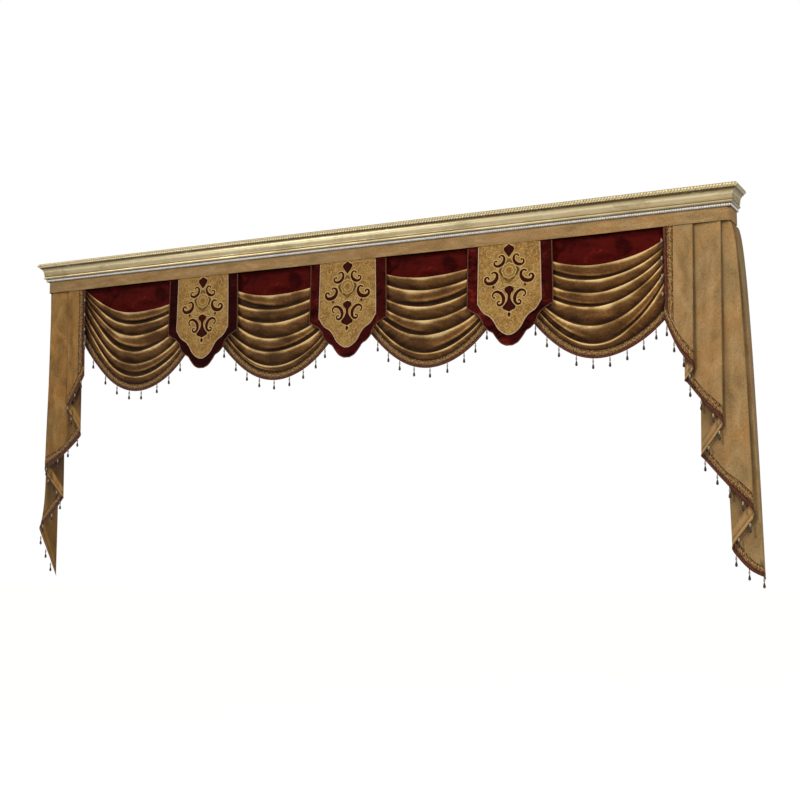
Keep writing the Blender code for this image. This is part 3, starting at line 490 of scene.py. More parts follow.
MATERIALS = {material.name: material for material in (
    chenille("chenille_band", (0.300, 0.190, 0.080), (0.330, 0.200, 0.080), (0.345, 0.190, 0.070),
             (0.500, 0.340, 0.165), 0.55, 6.0, (0.5, 1.8, 1.0)),
    # The tails are one chenille; the left tail's copy is darker and redder than the right's as painted shade.
    chenille("chenille_tail_left", (0.285, 0.160, 0.050), (0.315, 0.160, 0.043), (0.335, 0.150, 0.035),
             (0.445, 0.255, 0.080), 0.85),
    chenille("chenille_tail_right", (0.300, 0.195, 0.082), (0.325, 0.195, 0.077), (0.350, 0.185, 0.062),
             (0.450, 0.295, 0.135), 0.60),
    swag_chenille("chenille_swag"),
    crushed_velvet("velvet_backing", (0.026, 0.0018, 0.0015), (0.07, 0.0042, 0.003),
                   (0.155, 0.011, 0.0078), 8.0),
    crushed_velvet("velvet_shield", (0.01, 0.0008, 0.0006), (0.078, 0.005, 0.0034),
                   (0.21, 0.017, 0.011), 15.0),
    brocade("brocade_ground"),
    corded("braid_gold", (0.030, 0.007, 0.004), (0.105, 0.043, 0.013), (0.430, 0.270, 0.095), 170.0, 0.66),
    corded("edge_velvet", (0.010, 0.002, 0.0012), (0.048, 0.010, 0.005), (0.135, 0.036, 0.016), 120.0),
    corded("piping_bronze", (0.040, 0.010, 0.006), (0.085, 0.026, 0.014), (0.190, 0.082, 0.038)),
    corded("piping_pale", (0.28, 0.15, 0.08), (0.48, 0.32, 0.18), (0.66, 0.49, 0.32)),
    corded("hem_cord", (0.16, 0.075, 0.035), (0.30, 0.17, 0.085), (0.48, 0.32, 0.18)),
    stitched("stitch_dark", (0.008, 0.0010, 0.0006), (0.046, 0.0042, 0.0026)),
    stitched("stitch_gold", (0.42, 0.265, 0.085), (0.72, 0.50, 0.215)),
    stitched("stitch_orange", (0.21, 0.105, 0.018), (0.45, 0.265, 0.060)),
    stitched("stitch_olive", (0.075, 0.038, 0.010), (0.20, 0.115, 0.030)),
    stitched("stitch_pale", (0.36, 0.245, 0.100), (0.58, 0.43, 0.21)),
    stitched("stitch_red", (0.24, 0.065, 0.018), (0.44, 0.16, 0.045)),
    beaten("leaf_rope", (0.10, 0.062, 0.020), (0.40, 0.305, 0.140), (0.66, 0.55, 0.31), 0.30, 0.40),
    beaten("leaf_pearls", (0.30, 0.27, 0.23), (0.52, 0.49, 0.45), (0.80, 0.77, 0.74), 0.2, 0.36),
    leaf("leaf_moulding", LEAF_AND_LIGHT_BANDS, 0.45, 0.34),
    glassy("bead_dark", (0.012, 0.005, 0.004), (0.055, 0.018, 0.012), 0.38, 0.25),
    glassy("bead_pale", (0.24, 0.21, 0.15), (0.42, 0.37, 0.27), 0.45, 0.18),
    pine("pine_board"),
    plain_floor("pale_floor"),
)}

# ---- Helpers ------------------------------------------------------------------------------------


def place(x, out, level):
    return (x, -out, level + BAND_LEVEL)


def blend(low, high, share):
    return low + (high - low) * share


def ease(share):
    share = min(1.0, max(0.0, share))
    return share * share * (3 - 2 * share)


def in_table(table, value):
    """The table's second column at this value of its first."""
    return np.interp(value, *zip(*table))


def ridge(away, beside=0.0):
    """A soft ridge, one unit wide, with its middle this far beside."""
    return math.exp(-(away - beside) ** 2)


def grid_of(columns, rows, at):
    """The points at(column, row) for all these values of both."""
    return np.array([[at(column, row) for row in rows] for column in columns])


def lengths(points, axis=0):
    return np.linalg.norm(np.diff(points, axis=axis), axis=-1)


def runs(steps):
    """The distance run after each of these steps, from 0."""
    return np.concatenate([np.zeros_like(steps[:1]), np.cumsum(steps, axis=0)])


def spread_uv(u, v):
    return np.stack(np.broadcast_arrays(u, v), axis=2)


def cloth_uv(grid):
    """Metres along the cloth, the same in all rows, and down each column."""
    return spread_uv(runs(lengths(grid).mean(axis=1))[:, None], runs(lengths(grid, 1).T).T)


def normals_of(grid, front):
    """Unit normals of a grid, on the side that faces the room for front = 1 where x rises."""
    cross = -front * np.cross(np.gradient(grid, axis=0), np.gradient(grid, axis=1))
    return cross / np.maximum(1e-12, np.linalg.norm(cross, axis=2, keepdims=True))


class Piece:
    """A mesh put together from grids, tubes and beads, each with its cloth coordinates and tone."""

    def __init__(self):
        self.points, self.faces, self.uvs, self.tones, self.slots = [], [], [], [], []
        self.count = 0

    def store(self, points, faces, uv, tones, slots):
        self.faces += [[index + self.count for index in face] for face in faces]
        self.slots += slots
        self.points.append(points)
        self.uvs.append(uv.reshape(-1, 2))
        self.tones.append(tones)
        self.count += len(points)

    def layers(self, top, bottom, uv, tone=0.5, slot=0, lining=None):
        """Closes a front and a back grid of the same size into one solid; lining is the back's slot."""
        columns, rows = top.shape[:2]
        total = columns * rows
        index = np.arange(total).reshape(columns, rows)
        quads = np.stack([index[:-1, :-1], index[:-1, 1:], index[1:, 1:], index[1:, :-1]], axis=2)
        quads = quads.reshape(-1, 4)
        rim = np.concatenate([index[0], index[1:, -1], index[-1, -2::-1], index[-2:0:-1, 0]])
        ahead = np.roll(rim, -1)
        sides = np.stack([rim + total, ahead + total, ahead, rim], axis=1)
        back = slot if lining is None else lining
        self.store(np.concatenate([top.reshape(-1, 3), bottom.reshape(-1, 3)]),
                   np.concatenate([quads, quads[:, ::-1] + total, sides]).tolist(), np.stack([uv, uv]),
                   np.tile(np.broadcast_to(tone, (columns, rows)).reshape(-1), 2),
                   [slot] * len(quads) + [back] * len(quads) + [slot] * len(sides))

    def tube(self, rings, tone=0.5, slot=0):
        """A tube through rings of points, with its two ends closed."""
        count, sides = rings.shape[:2]
        index = np.arange(count * sides).reshape(count, sides)
        ahead = np.roll(index, -1, axis=1)
        quads = np.stack([index[:-1], ahead[:-1], ahead[1:], index[1:]], axis=2).swapaxes(0, 1)
        faces = [*quads.reshape(-1, 4).tolist(), index[0, ::-1].tolist(), index[-1].tolist()]
        uv = spread_uv(runs(lengths(rings.mean(axis=1)))[:, None], np.arange(sides) * 0.001)
        self.store(rings.reshape(-1, 3), faces, uv, np.broadcast_to(tone, (count, sides)).reshape(-1),
                   [slot] * len(faces))

    def bead(self, centre, profile, axis=(0, 0, -1), sides=BEAD_SIDES, tone=0.5, slot=0):
        """A turned bead: profile gives (distance along the axis, radius)."""
        across = Vector(axis).orthogonal().normalized()
        other = Vector(axis).cross(across)
        turns = np.arange(sides) * 2 * math.pi / sides
        circle = np.outer(np.cos(turns), across) + np.outer(np.sin(turns), other)
        rings = np.array([centre + along * np.array(axis) + radius * circle for along, radius in profile])
        self.tube(rings, tone, slot)

    def make(self, name, finishes, replaced=(), sharp=50):
        mesh = bpy.data.meshes.new(name)
        mesh.from_pydata(np.concatenate(self.points).tolist(), [], self.faces)
        corner = np.zeros(len(mesh.loops), np.int32)
        mesh.loops.foreach_get("vertex_index", corner)
        uv = np.concatenate(self.uvs)[corner].astype(np.float32)
        mesh.uv_layers.new(name="cloth").uv.foreach_set("vector", uv.reshape(-1))
        tone = mesh.attributes.new("tone", "FLOAT", "POINT")
        tone.data.foreach_set("value", np.concatenate(self.tones).astype(np.float32))
        for finish in finishes:
            mesh.materials.append(MATERIALS[finish])
        mesh.polygons.foreach_set("material_index", np.array(self.slots, np.int32))
        shape = bmesh.new()
        shape.from_mesh(mesh)
        bmesh.ops.recalc_face_normals(shape, faces=shape.faces)
        shape.to_mesh(mesh)
        shape.free()
        mesh.shade_smooth()
        mesh.set_sharp_from_angle(angle=math.radians(sharp))
        piece = add_object(name, mesh)
        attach(piece, "root")
        if replaced:
            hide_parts(*replaced)
        return piece


def add_object(name, data):
    thing = bpy.data.objects.new(name, data)
    bpy.context.scene.collection.objects.link(thing)
    return thing


def declare(piece, grid, with_pieces=()):
    """Works out the sheet's cut size, its longest runs across and down, and does nothing more with them."""
    width, length = (lengths(grid, axis).sum(axis=axis).max() for axis in (0, 1))


def make_cloth(name, grid, finish, front=1, uv=None, tone=0.5, sharp=80):
    """A sheet whose middle is the grid, in place of the CAD piece of that name."""
    cloth = Piece()
    offset = normals_of(grid, front) * SHEET / 2
    cloth.layers(grid + offset, grid - offset, cloth_uv(grid) if uv is None else uv, tone)
    return cloth.make(f"{name}_cloth", [finish], [name], sharp)


# ---- Trims --------------------------------------------------------------------------------------


def braid_strip(piece, line, width, front, lining):
    """A braid of three plaited strands. line(run share, across share) gives the strip's middle."""
    length = lengths([line(k / 60, 0.5) for k in range(61)]).sum()
    along = np.linspace(0, 1, max(8, int(length / BRAID_PITCH * 5)))
    across = np.linspace(0, 1, BRAID_ROWS)
    grid = grid_of(along, across, line)
    run = length * along[:, None]
    strands = np.zeros(grid.shape[:2])
    for k in range(3):
        turn = math.pi * run / BRAID_PITCH + 2 * math.pi * k / 3
        away = (across - (0.5 + STRAND_SWING * np.sin(turn))) / STRAND_WIDTH
        strands = np.maximum(strands, np.exp(-away * away) * (0.70 + 0.30 * np.cos(2 * turn)))
    relief = (0.2 + 0.8 * strands) * np.sin(math.pi * np.clip(across, 0.04, 0.96)) ** 0.35
    normal = normals_of(grid, front)
    height = (BRAID_GROUND + BRAID_RELIEF * relief)[..., None]
    uv = spread_uv(run, across * width)
    piece.layers(grid + normal * height, grid - normal * SHEET / 2, uv, strands, 0, lining)


def edge_roll(piece, line, front, steps, lining):
    """The padded velvet edge: a flattened roll along one side of the trim."""
    across = np.linspace(0, 1, EDGE_ROWS)
    grid = grid_of(np.linspace(0, 1, steps + 1), across, line)
    swell = EDGE_SWELL * np.sqrt(np.clip(1 - (2 * across - 1) ** 2, 0.05, 1))
    offset = normals_of(grid, front) * swell[:, None]
    tone = 0.3 + 0.6 * np.sin(math.pi * across)
    piece.layers(grid + offset, grid - 0.6 * offset, cloth_uv(grid), tone, 1, lining)


def hem_cord(piece, line, front, slot, steps=420, sides=6):
    """A thin cord along the hem's lower edge, on the back of the cloth."""
    grid = grid_of(np.linspace(0, 1, steps + 1), (0.8, 1.0), line)
    normal = normals_of(grid, front)[:, 1]
    turns = np.arange(sides) * 2 * math.pi / sides
    circle = np.cos(turns)[:, None] * normal[:, None] + np.sin(turns)[:, None] * np.array((0.0, 0.0, 1.0))
    strand = 0.5 + 0.5 * np.sin(np.arange(steps + 1)[:, None] * HEM_CORD_TWIST + turns)
    piece.tube((grid[:, 1] - HEM_CORD * normal)[:, None] + HEM_CORD * circle, strand, slot)


def make_trim(name, line, strips, width, replaced, front=1, steps=160, back=()):
    """A braid over a padded edge. line(low, high) gives a strip of the trim as a function of two shares.

    back has the finishes of the hem's lining and of the cord that closes it.
    """
    braid, edge = strips
    lining = 2 if back else None
    trim = Piece()
    braid_strip(trim, line(*braid), width * (braid[1] - braid[0]), front, lining)
    edge_roll(trim, line(*edge), front, steps, lining)
    if back:
        hem_cord(trim, line(0.0, 1.0), front, 3)
    return trim.make(name, ["braid_gold", "edge_velvet", *back], [replaced])


def make_drops(name, points):
    """A bead drop hung from each point."""
    beads = Piece()
    for point in points:
        for slot, profile in DROP:
            beads.bead(point, profile, slot=slot)
    return beads.make(name, ["bead_dark", "bead_pale"])


# ---- Swags --------------------------------------------------------------------------------------


def swag_level(swag, row, share):
    """The level of a crest or of the trim's edge: two half parabolas that meet at its lowest place."""
    left, lowest, right = swag["rows"][row]
    low_at = swag["low_at"]
    end, reach = (left, low_at) if share < low_at else (right, 1 - low_at)
    return lowest + (end - lowest) * ((share - low_at) / reach) ** 2


def swag_opening(share):
    """How far the folds have opened, from the gathered ends to the middle."""
    start, length = SWAG_EASE
    return ease((min(share, 1 - share) - start) / length)


def swag_hollow_out(share):
    return SWAG_END_OUT + SWAG_BULGE * swag_opening(share)


def swag_fold_depth(share, room):
    return min(blend(FOLD_DEPTH_END, FOLD_DEPTH_MIDDLE, swag_opening(share)), FOLD_STEEPEST * room)


def swag_trim_level(swag, share, above=0.0):
    """The level this far above the trim's lower edge, measured square to it."""
    before, after = max(0, share - 0.01), min(1, share + 0.01)
    rise = swag_level(swag, -1, after) - swag_level(swag, -1, before)
    run = (swag["right"] - swag["left"]) * (after - before)
    return swag_level(swag, -1, share) + above * math.hypot(1, rise / run)


def swag_edge_out(swag, share):
    room = swag_level(swag, -2, share) - swag_trim_level(swag, share, SWAG_TRIM_WIDTH)
    return swag_hollow_out(share) + swag_fold_depth(share, room) * LAST_REACH


def crease(creases, fold, share, fall):
    """A small soft ridge along the crease with a hollow just below it: its height, and its tone as a painted
    highlight on the ridge and painted shade in the hollow.
    """
    height = tone = 0.0
    for of_fold, start, end, fall_start, fall_end, size in creases:
        along = (share - start) / (end - start)
        if of_fold == fold and 0 < along < 1:
            away = (fall - blend(fall_start, fall_end, along)) / CREASE_WIDTH
            fade = math.sin(math.pi * along) ** 0.7
            height += size * fade * (ridge(away) - 0.6 * ridge(away, 1.4))
            tone += fade * (0.42 * ridge(away) - 0.34 * ridge(away, 1.5))
    return height, tone


def swag_column(swag, share, chance):
    """One column of points with their tones, from the first crest to the top of the trim."""
    x = blend(swag["left"], swag["right"], share)
    crests = [swag_level(swag, row, share) for row in range(len(swag["rows"]) - 1)]
    crests.append(swag_trim_level(swag, share, SWAG_TRIM_WIDTH - UNDER_TRIM))
    depths = [swag_fold_depth(share, high - low) for high, low in zip(crests, crests[1:])]
    depths.append(depths[-1])
    opening, end = swag_opening(share), min(share, 1 - share)
    pucker = SWAG_PUCKER * ridge(end / PUCKER_REACH)
    end_shade = blend(END_SHADE, 1.0, ease(end / END_SHADE_REACH))
    column, tones = [], []
    for row, (phase, pace) in zip(range(len(crests) - 1), chance):
        last = row == len(crests) - 2
        shape, shade = (LAST_FOLD, LAST_FOLD_SHADING) if last else (FOLD, FOLD_SHADING)
        turn = 2 * math.pi * (pace * share + phase)
        drift = math.sin(turn) + 0.5 * math.sin(2 * math.pi * (2.7 * pace * share + 3 * phase))
        for k in range(FOLD_ROWS + last):
            fall = k / FOLD_ROWS
            at = fall ** (1 + 0.16 * drift)
            rise, crease_shading = crease(swag["creases"], row, share, fall)
            out = swag_hollow_out(share) + blend(depths[row], depths[row + 1], fall) * in_table(shape, at)
            out += SWAG_WAVE * opening * math.sin(turn + 3.0 * fall) + rise * (0.25 + 0.75 * opening)
            out += pucker * math.sin(2 * math.pi * (3 * fall + phase))
            level = blend(crests[row], crests[row + 1], fall)
            column.append(place(x, max(out, SWAG_END_OUT - GAP / 2), level))
            # The tone is painted light and shade: the fold's, the creases' and painted shade at the gathered
            # ends.
            tone = (in_table(shade, at) + crease_shading) * end_shade * (0.93 + 0.07 * drift)
            tones.append(min(1.0, max(0.0, tone)))
    return column, tones


def make_swag(number, swag):
    rng = random.Random(number)
    chance = [(rng.random(), rng.uniform(1.2, 2.6)) for _ in swag["rows"]]
    columns = [swag_column(swag, k / (SWAG_COLUMNS - 1), chance) for k in range(SWAG_COLUMNS)]
    if number == 1:
        column, tones = columns[0]
        columns.insert(0, ([(x - BEHIND_TAIL, y, z) for x, y, z in column], tones))
    grid, tone = (np.array(part) for part in zip(*columns))
    cloth = make_cloth(f"swag_{number}", grid, "chenille_swag", tone=tone)

    def line(low, high):
        def at(share, across):
            level = swag_trim_level(swag, share, blend(high, low, across))
            return place(blend(swag["left"], swag["right"], share), swag_edge_out(swag, share), level)
        return at

    trim = make_trim(f"swag_{number}_braid", line, SWAG_TRIM, 1.0, f"swag_trim_{number}")
    beads = make_drops(f"swag_{number}_drops", [line(0, 0)(share, 0) for share in swag["drops"]])
    declare(cloth, grid, [trim, beads])


def make_backing(number, swag):
    """The velvet behind a swag, a little crushed where it shows."""
    left = max(swag["left"] - BACKING_OVERLAP, SWAGS[0]["left"] - BEHIND_TAIL)
    right = min(swag["right"] + BACKING_OVERLAP, SWAGS[-1]["right"])

    def at(share, level):
        free = ease((PELMET_BOTTOM - level) / 0.05) * swag_opening(share)
        crush = sum(height * math.sin(across * share + down * level + shift * number)
                    for height, across, down, shift in BACKING_CRUSH)
        return place(blend(left, right, share), BACKING_OUT + (BACKING_BULGE + crush) * free, level)

    levels = np.linspace(HEADER_TOP, BACKING_BOTTOM, BACKING_ROWS)
    grid = grid_of(np.linspace(0, 1, BACKING_COLUMNS), levels, at)
    cloth = make_cloth(f"backing_{number}", grid, "velvet_backing")
    declare(cloth, grid)


# ---- Shields ------------------------------------------------------------------------------------


def shield_hang(x, level):
    """How far a shield stands off its plane: it leans out towards its tip and ripples a little."""
    lean = SHIELD_LEAN * max(0.0, level / SHIELD_EDGE[-1][1]) ** 1.5
    return lean + SHIELD_RIPPLE * math.sin(38 * x + 9 * level) * ease(-level / 0.1)


def smooth_outline(half, step=0.006):
    """A soft curve through the half outline, from the top down to its tip, as (half width, level)."""
    points = [Vector(p) for p in half]
    line = []
    for k in range(len(points) - 1):
        a, b, c, d = (points[min(max(k + n, 0), len(points) - 1)] for n in (-1, 0, 1, 2))
        if k < 2:
            a, d = b * 2 - c, c * 2 - b
        count = max(1, round((c - b).length / step))
        for t in (n / count for n in range(count)):
            line.append(0.5 * (b * 2 + (c - a) * t + (a * 2 - b * 5 + c * 4 - d) * t * t
                               + (b * 3 - a - c * 3 + d) * t ** 3))
    return [tuple(point) for point in (*line, points[-1])]


def sideways(line):
    """Unit vectors to the left of a line of (x, level)."""
    along = np.gradient(line, axis=0)
    along /= np.maximum(1e-9, np.linalg.norm(along, axis=1, keepdims=True))
    return np.stack([-along[:, 1], along[:, 0]], axis=1)


def make_plate(name, half, centre, out, finish, lie):
    """One flat shield; lie is its painted shade as tone, at the left and the right edge."""
    def at(share, edge):
        x, level = share * edge[0], edge[1]
        return place(centre + x, out + shield_hang(x, level) - SHIELD_ROUNDING * abs(share) ** 9, level)

    grid = grid_of(np.linspace(-1, 1, PLATE_COLUMNS), smooth_outline(half), at)
    tone = np.linspace(*lie, PLATE_COLUMNS)[:, None]
    return make_cloth(name, grid, finish, uv=grid[..., ::2], tone=tone, sharp=50), grid


def make_piping(name, half, centre, out, replaced, finish, twist):
    """A cord round the shield's edge, below the band; twist is how deep its two strands show."""
    half = [(w, level) for w, level in smooth_outline(half, 0.002) if level <= -2 * BAND_DROOP]
    tip_width, tip_level = half[-1]
    tip = [(w, tip_level) for w in np.linspace(-tip_width, tip_width, 9)[1:-1]]
    line = np.array([*((-w, level) for w, level in half), *tip, *reversed(half)])
    turns = 2 * math.pi * np.arange(PIPING_SIDES) / PIPING_SIDES
    strand = np.abs(np.cos(turns - math.pi * runs(lengths(line))[:, None] / PIPING_PITCH))
    radius = PIPING_RADIUS * (1 - twist * (1 - strand))
    reach = PIPING_RADIUS - GAP + radius * np.cos(turns)
    x, level = (line[:, None] - sideways(line)[:, None] * reach[..., None]).transpose(2, 0, 1)
    hang = np.array([shield_hang(*point) for point in line])[:, None]
    cord = Piece()
    cord.tube(np.stack(place(centre + x, out + hang + radius * np.sin(turns), level), axis=2), strand)
    return cord.make(name, [finish], [replaced], 80)


# Embroidery of one medallion, each shape by its own numbers and the scrolls mirrored to both sides.
# A scroll's middle and heading (degrees), how it bends there, and for each arm its length and curl.
Scroll = namedtuple("Scroll", "at heading bend arms width")
SCROLLS = (
    Scroll((0.032, -0.089), 318, 92, ((0.060, 110), (0.064, 150)), 0.0086),
    Scroll((0.070, -0.166), 328, 100, ((0.066, 90), (0.082, 185)), 0.0104),
    Scroll((0.027, -0.236), 72, -100, ((0.074, -190), (0.084, -125)), 0.0092),
)
FINE_SCROLLS = (
    Scroll((0.024, -0.199), 340, 150, ((0.030, 10), (0.088, 230)), 0.0036),
    Scroll((0.054, -0.118), 80, 20, ((0.020, 60), (0.020, -60)), 0.0013),
)
GROUND_SCROLLS = (
    Scroll((0.105, -0.045), 60, 60, ((0.040, 330), (0.034, 200)), 0.0012),
    Scroll((0.112, -0.110), 120, 50, ((0.034, 300), (0.030, 220)), 0.0012),
    Scroll((0.114, -0.196), 250, 60, ((0.044, 360), (0.036, 260)), 0.0014),
    Scroll((0.086, -0.262), 300, 50, ((0.036, 300), (0.034, 230)), 0.0012),
    Scroll((0.042, -0.318), 20, 60, ((0.032, 280), (0.030, 240)), 0.0012),
    Scroll((0.018, -0.368), 80, 60, ((0.022, 240), (0.020, 240)), 0.0011),
    Scroll((0.062, -0.030), 170, 50, ((0.030, 260), (0.026, 260)), 0.0011),
)
# Solid figures on the middle line, as (half width, level) down one side.
BUD = ((0.0010, -0.002), (0.0080, -0.007), (0.0215, -0.015), (0.0252, -0.023), (0.0215, -0.034),
       (0.0140, -0.045), (0.0060, -0.055), (0.0008, -0.061))
STEM = ((0.0008, -0.186), (0.0130, -0.191), (0.0225, -0.200), (0.0195, -0.211), (0.0100, -0.222),
        (0.0076, -0.236), (0.0105, -0.252), (0.0200, -0.268), (0.0300, -0.279), (0.0265, -0.290),
        (0.0125, -0.297), (0.0012, -0.302))
PENDANT = ((0.0008, -0.303), (0.0065, -0.308), (0.0085, -0.313), (0.0055, -0.321), (0.0006, -0.328))
DIAMOND = ((0.0008, -0.066), (0.0200, -0.084), (0.0420, -0.108), (0.0490, -0.121), (0.0420, -0.134),
           (0.0220, -0.156), (0.0008, -0.176))
SMALL_DIAMOND, SMALL_DIAMOND_ASIDE = ((0.0010, -0.181), (0.0058, -0.188), (0.0010, -0.195)), 0.074
KNOB = 0.0054  # across the round end of a scroll's arm
THREADS = ["stitch_dark", "stitch_gold", "stitch_orange", "stitch_olive", "stitch_pale", "stitch_red"]
DARK, GOLD, ORANGE, OLIVE, PALE, RED = range(6)
OUTLINE = 0.0038  # how far the gold outline shows round the dark shapes
# The rosette's rings from the outside: radius, half width, thread and how wavy the ring is.
ROSETTE_AT, ROSETTE_PETALS = (0.0, -0.120), 8
ROSETTE = ((0.03300, 0.0022, GOLD, 0.05), (0.02640, 0.0030, ORANGE, 0.07), (0.01914, 0.0022, GOLD, 0.08),
           (0.01254, 0.0026, ORANGE, 0.10), (0.00594, 0.0030, RED, 0.0))


def scroll_line(scroll, steps=26):
    """The centre line of a scroll and its half width: each arm turns ever faster into its curl."""
    arms = []
    for way, (length, curl) in zip((-1, 1), scroll.arms):
        x, level = scroll.at
        angle = math.radians(scroll.heading) + (math.pi if way < 0 else 0)
        arm = []
        for share in ((k + 0.5) / steps for k in range(steps)):
            angle += way * math.radians(scroll.bend + 3 * curl * share * share) / steps
            x += math.cos(angle) * length / steps
            level += math.sin(angle) * length / steps
            arm.append((x, level, scroll.width * blend(1.0, 0.38, share ** 1.3)))
        arms.append(arm)
    return [*reversed(arms[0]), (*scroll.at, scroll.width), *arms[1]]


def ring_line(at, radius, width, wobble=0.0, steps=48):
    line = []
    for turn in np.linspace(0, 2 * math.pi, steps + 1):
        here = radius * (1 + wobble * math.cos(ROSETTE_PETALS * turn))
        line.append((at[0] + here * math.cos(turn), at[1] + here * math.sin(turn), width))
    return line


def stitches(piece, centre, x, level, height, tone, slot, upright):
    """A raised patch on the medallion over a grid of places; its threads lie across it, or all upright."""
    x, level = np.broadcast_arrays(x, level)
    ground = MEDALLION_OUT + SHEET / 2 + np.vectorize(shield_hang)(x, level)
    top, low = (np.stack(place(centre + x, ground + rise, level), axis=2) for rise in (height, -STITCH_ROOT))
    piece.layers(top, low, spread_uv(-top[..., 2], top[..., 0]) if upright else cloth_uv(top), tone, slot)


def stroke(piece, centre, line, height, slot, wider=0.0, mirror=1):
    """A raised line of stitches of varying width."""
    line = np.array(line)
    shares = np.linspace(-1, 1, 5)
    crown = 1 - shares ** 2
    reach = shares * (line[:, 2:] + wider)
    x, level = (line[:, None, :2] + sideways(line[:, :2])[:, None] * reach[..., None]).transpose(2, 0, 1)
    stitches(piece, centre, x * mirror, level, height * (0.25 + 0.75 * crown), crown, slot, False)


def figure(piece, centre, half, height, slot, wider=0.0, aside=0.0):
    """A raised solid shape, symmetrical about its own middle line."""
    shares = np.linspace(-1, 1, 9)[:, None]
    width, level = np.array(half).T
    crown = (1 - shares ** 4) * np.sin(math.pi * np.linspace(0.12, 0.88, len(half)))
    level = level + wider * (1 - 2 * (level[0] - level) / (level[0] - level[-1]))
    stitches(piece, centre, aside + shares * (width + wider), level, height * (0.3 + 0.7 * crown),
             1 - shares ** 2, slot, True)


def make_embroidery(number, centre):
    work = Piece()
    for mirror in (-1, 1):
        for scroll in GROUND_SCROLLS:
            stroke(work, centre, scroll_line(scroll, 16), 0.0005, PALE, mirror=mirror)
        for scroll in SCROLLS:
            line = scroll_line(scroll)
            knobs = [ring_line(line[end], KNOB / 2, KNOB / 2, steps=14) for end in (0, -1)]
            for height, slot, wider in ((0.0011, GOLD, OUTLINE), (0.0019, DARK, 0.0)):
                for part in (line, *knobs):
                    stroke(work, centre, part, height, slot, wider, mirror)
        for scroll in FINE_SCROLLS:
            stroke(work, centre, scroll_line(scroll), 0.0010, GOLD, 0.0026, mirror)
            stroke(work, centre, scroll_line(scroll), 0.0013, OLIVE, mirror=mirror)
        figure(work, centre, SMALL_DIAMOND, 0.0015, DARK, aside=SMALL_DIAMOND_ASIDE * mirror)
    figure(work, centre, DIAMOND, 0.0006, OLIVE)
    for half in (smooth_outline(BUD, 0.004), smooth_outline(STEM, 0.004), smooth_outline(PENDANT, 0.003)):
        figure(work, centre, half, 0.0011, GOLD, OUTLINE)
        figure(work, centre, half, 0.0021, DARK)
    for radius, width, slot, wobble in ROSETTE:
        stroke(work, centre, ring_line(ROSETTE_AT, radius, width, wobble), 0.0016, slot)
    return work.make(f"embroidery_{number}", THREADS, sharp=60)


def make_shield(number, centre):
    piping = make_piping(f"shield_{number}_cord", SHIELD_EDGE, centre, SHIELD_OUT, f"shield_piping_{number}",
                         "piping_bronze", 0.02)
    shield, grid = make_plate(f"shield_{number}", SHIELD_EDGE, centre, SHIELD_OUT, "velvet_shield",
                              SHIELD_SHADE[number - 1])
    declare(shield, grid, [piping])
    piping = make_piping(f"medallion_{number}_cord", MEDALLION_EDGE, centre,
                         SHIELD_OUT + SHEET / 2 + GAP + PIPING_RADIUS, f"medallion_piping_{number}",
                         "piping_pale", 0.12)
    medallion, grid = make_plate(f"medallion_{number}", MEDALLION_EDGE, centre, MEDALLION_OUT,
                                 "brocade_ground", MEDALLION_SHADE)
    declare(medallion, grid, [piping, make_embroidery(number, centre)])


# ---- Tails --------------------------------------------------------------------------------------


def between(first, second, share, keys):
    """The stop this share of the way from the first to the second, with these entries."""
    return {key: blend(first[key], second[key], share) for key in keys}


def tail_stations(pleats, fold_steps):
    """The pleated path, with each fold as a half turn of this many steps."""
    stations = []
    for number, pleat in enumerate(pleats):
        way = {"outer": -1, "inner": 1}.get(pleat.kind, 0)
        for step in range(fold_steps + 1 if way else 1):
            share = step / fold_steps if way else 0.5
            angle = math.radians(90 + way * 180 * share)
            bend = abs(way) * np.array((way + math.cos(angle), way + math.sin(angle)))
            stations.append({
                "kind": pleat.kind, "step": step, "flare": pleat.flare, "sag": 0.0 if step else pleat.sag,
                "at": number + 0.2 * (share - 0.5), "level": pleat.level + pleat.turn * (0.5 - share),
                "top": (pleat.x_top, pleat.out_top) + FOLD_RADIUS_TOP * bend,
                "hem": (pleat.x_hem, pleat.out_hem) + FOLD_RADIUS_HEM * bend})
    return stations


def tail_between(first, second, share):
    stop = between(first, second, share, ("top", "hem", "level", "flare", "at"))
    stop["free"] = math.sin(math.pi * share)
    stop["level"] -= second["sag"] * stop["free"]
    stop["fold"] = second["step"] > 0 or (first["kind"] != "edge" and share < 0.02) or share > 0.98
    return stop


def tail_stops(pleats, fold_steps, panel_steps):
    stations = tail_stations(pleats, fold_steps)
    stops = []
    for first, second in zip(stations, stations[1:]):
        steps = 1 if second["step"] > 0 else panel_steps[second["kind"]]
        stops += [tail_between(first, second, k / steps) for k in range(steps)]
    stops.append(tail_between(stations[-2], stations[-1], 1.0))
    stops[0]["run"] = 0.0
    for before, stop in zip(stops, stops[1:]):
        flat = math.dist(before["hem"], stop["hem"])
        stop["run"] = before["run"] + math.hypot(flat, before["level"] - stop["level"])
    return stops


def hem_steepness(stops, levels):
    """For each stop, how much longer a line at these levels is than the plan below it."""
    steep = []
    for first, second, high, low in zip(stops, stops[1:], levels, levels[1:]):
        flat = math.dist(first["hem"], second["hem"])
        steep.append(math.hypot(flat, high - low) / flat)
    return [max(pair) for pair in zip([1.0, *steep], [*steep, 1.0])]


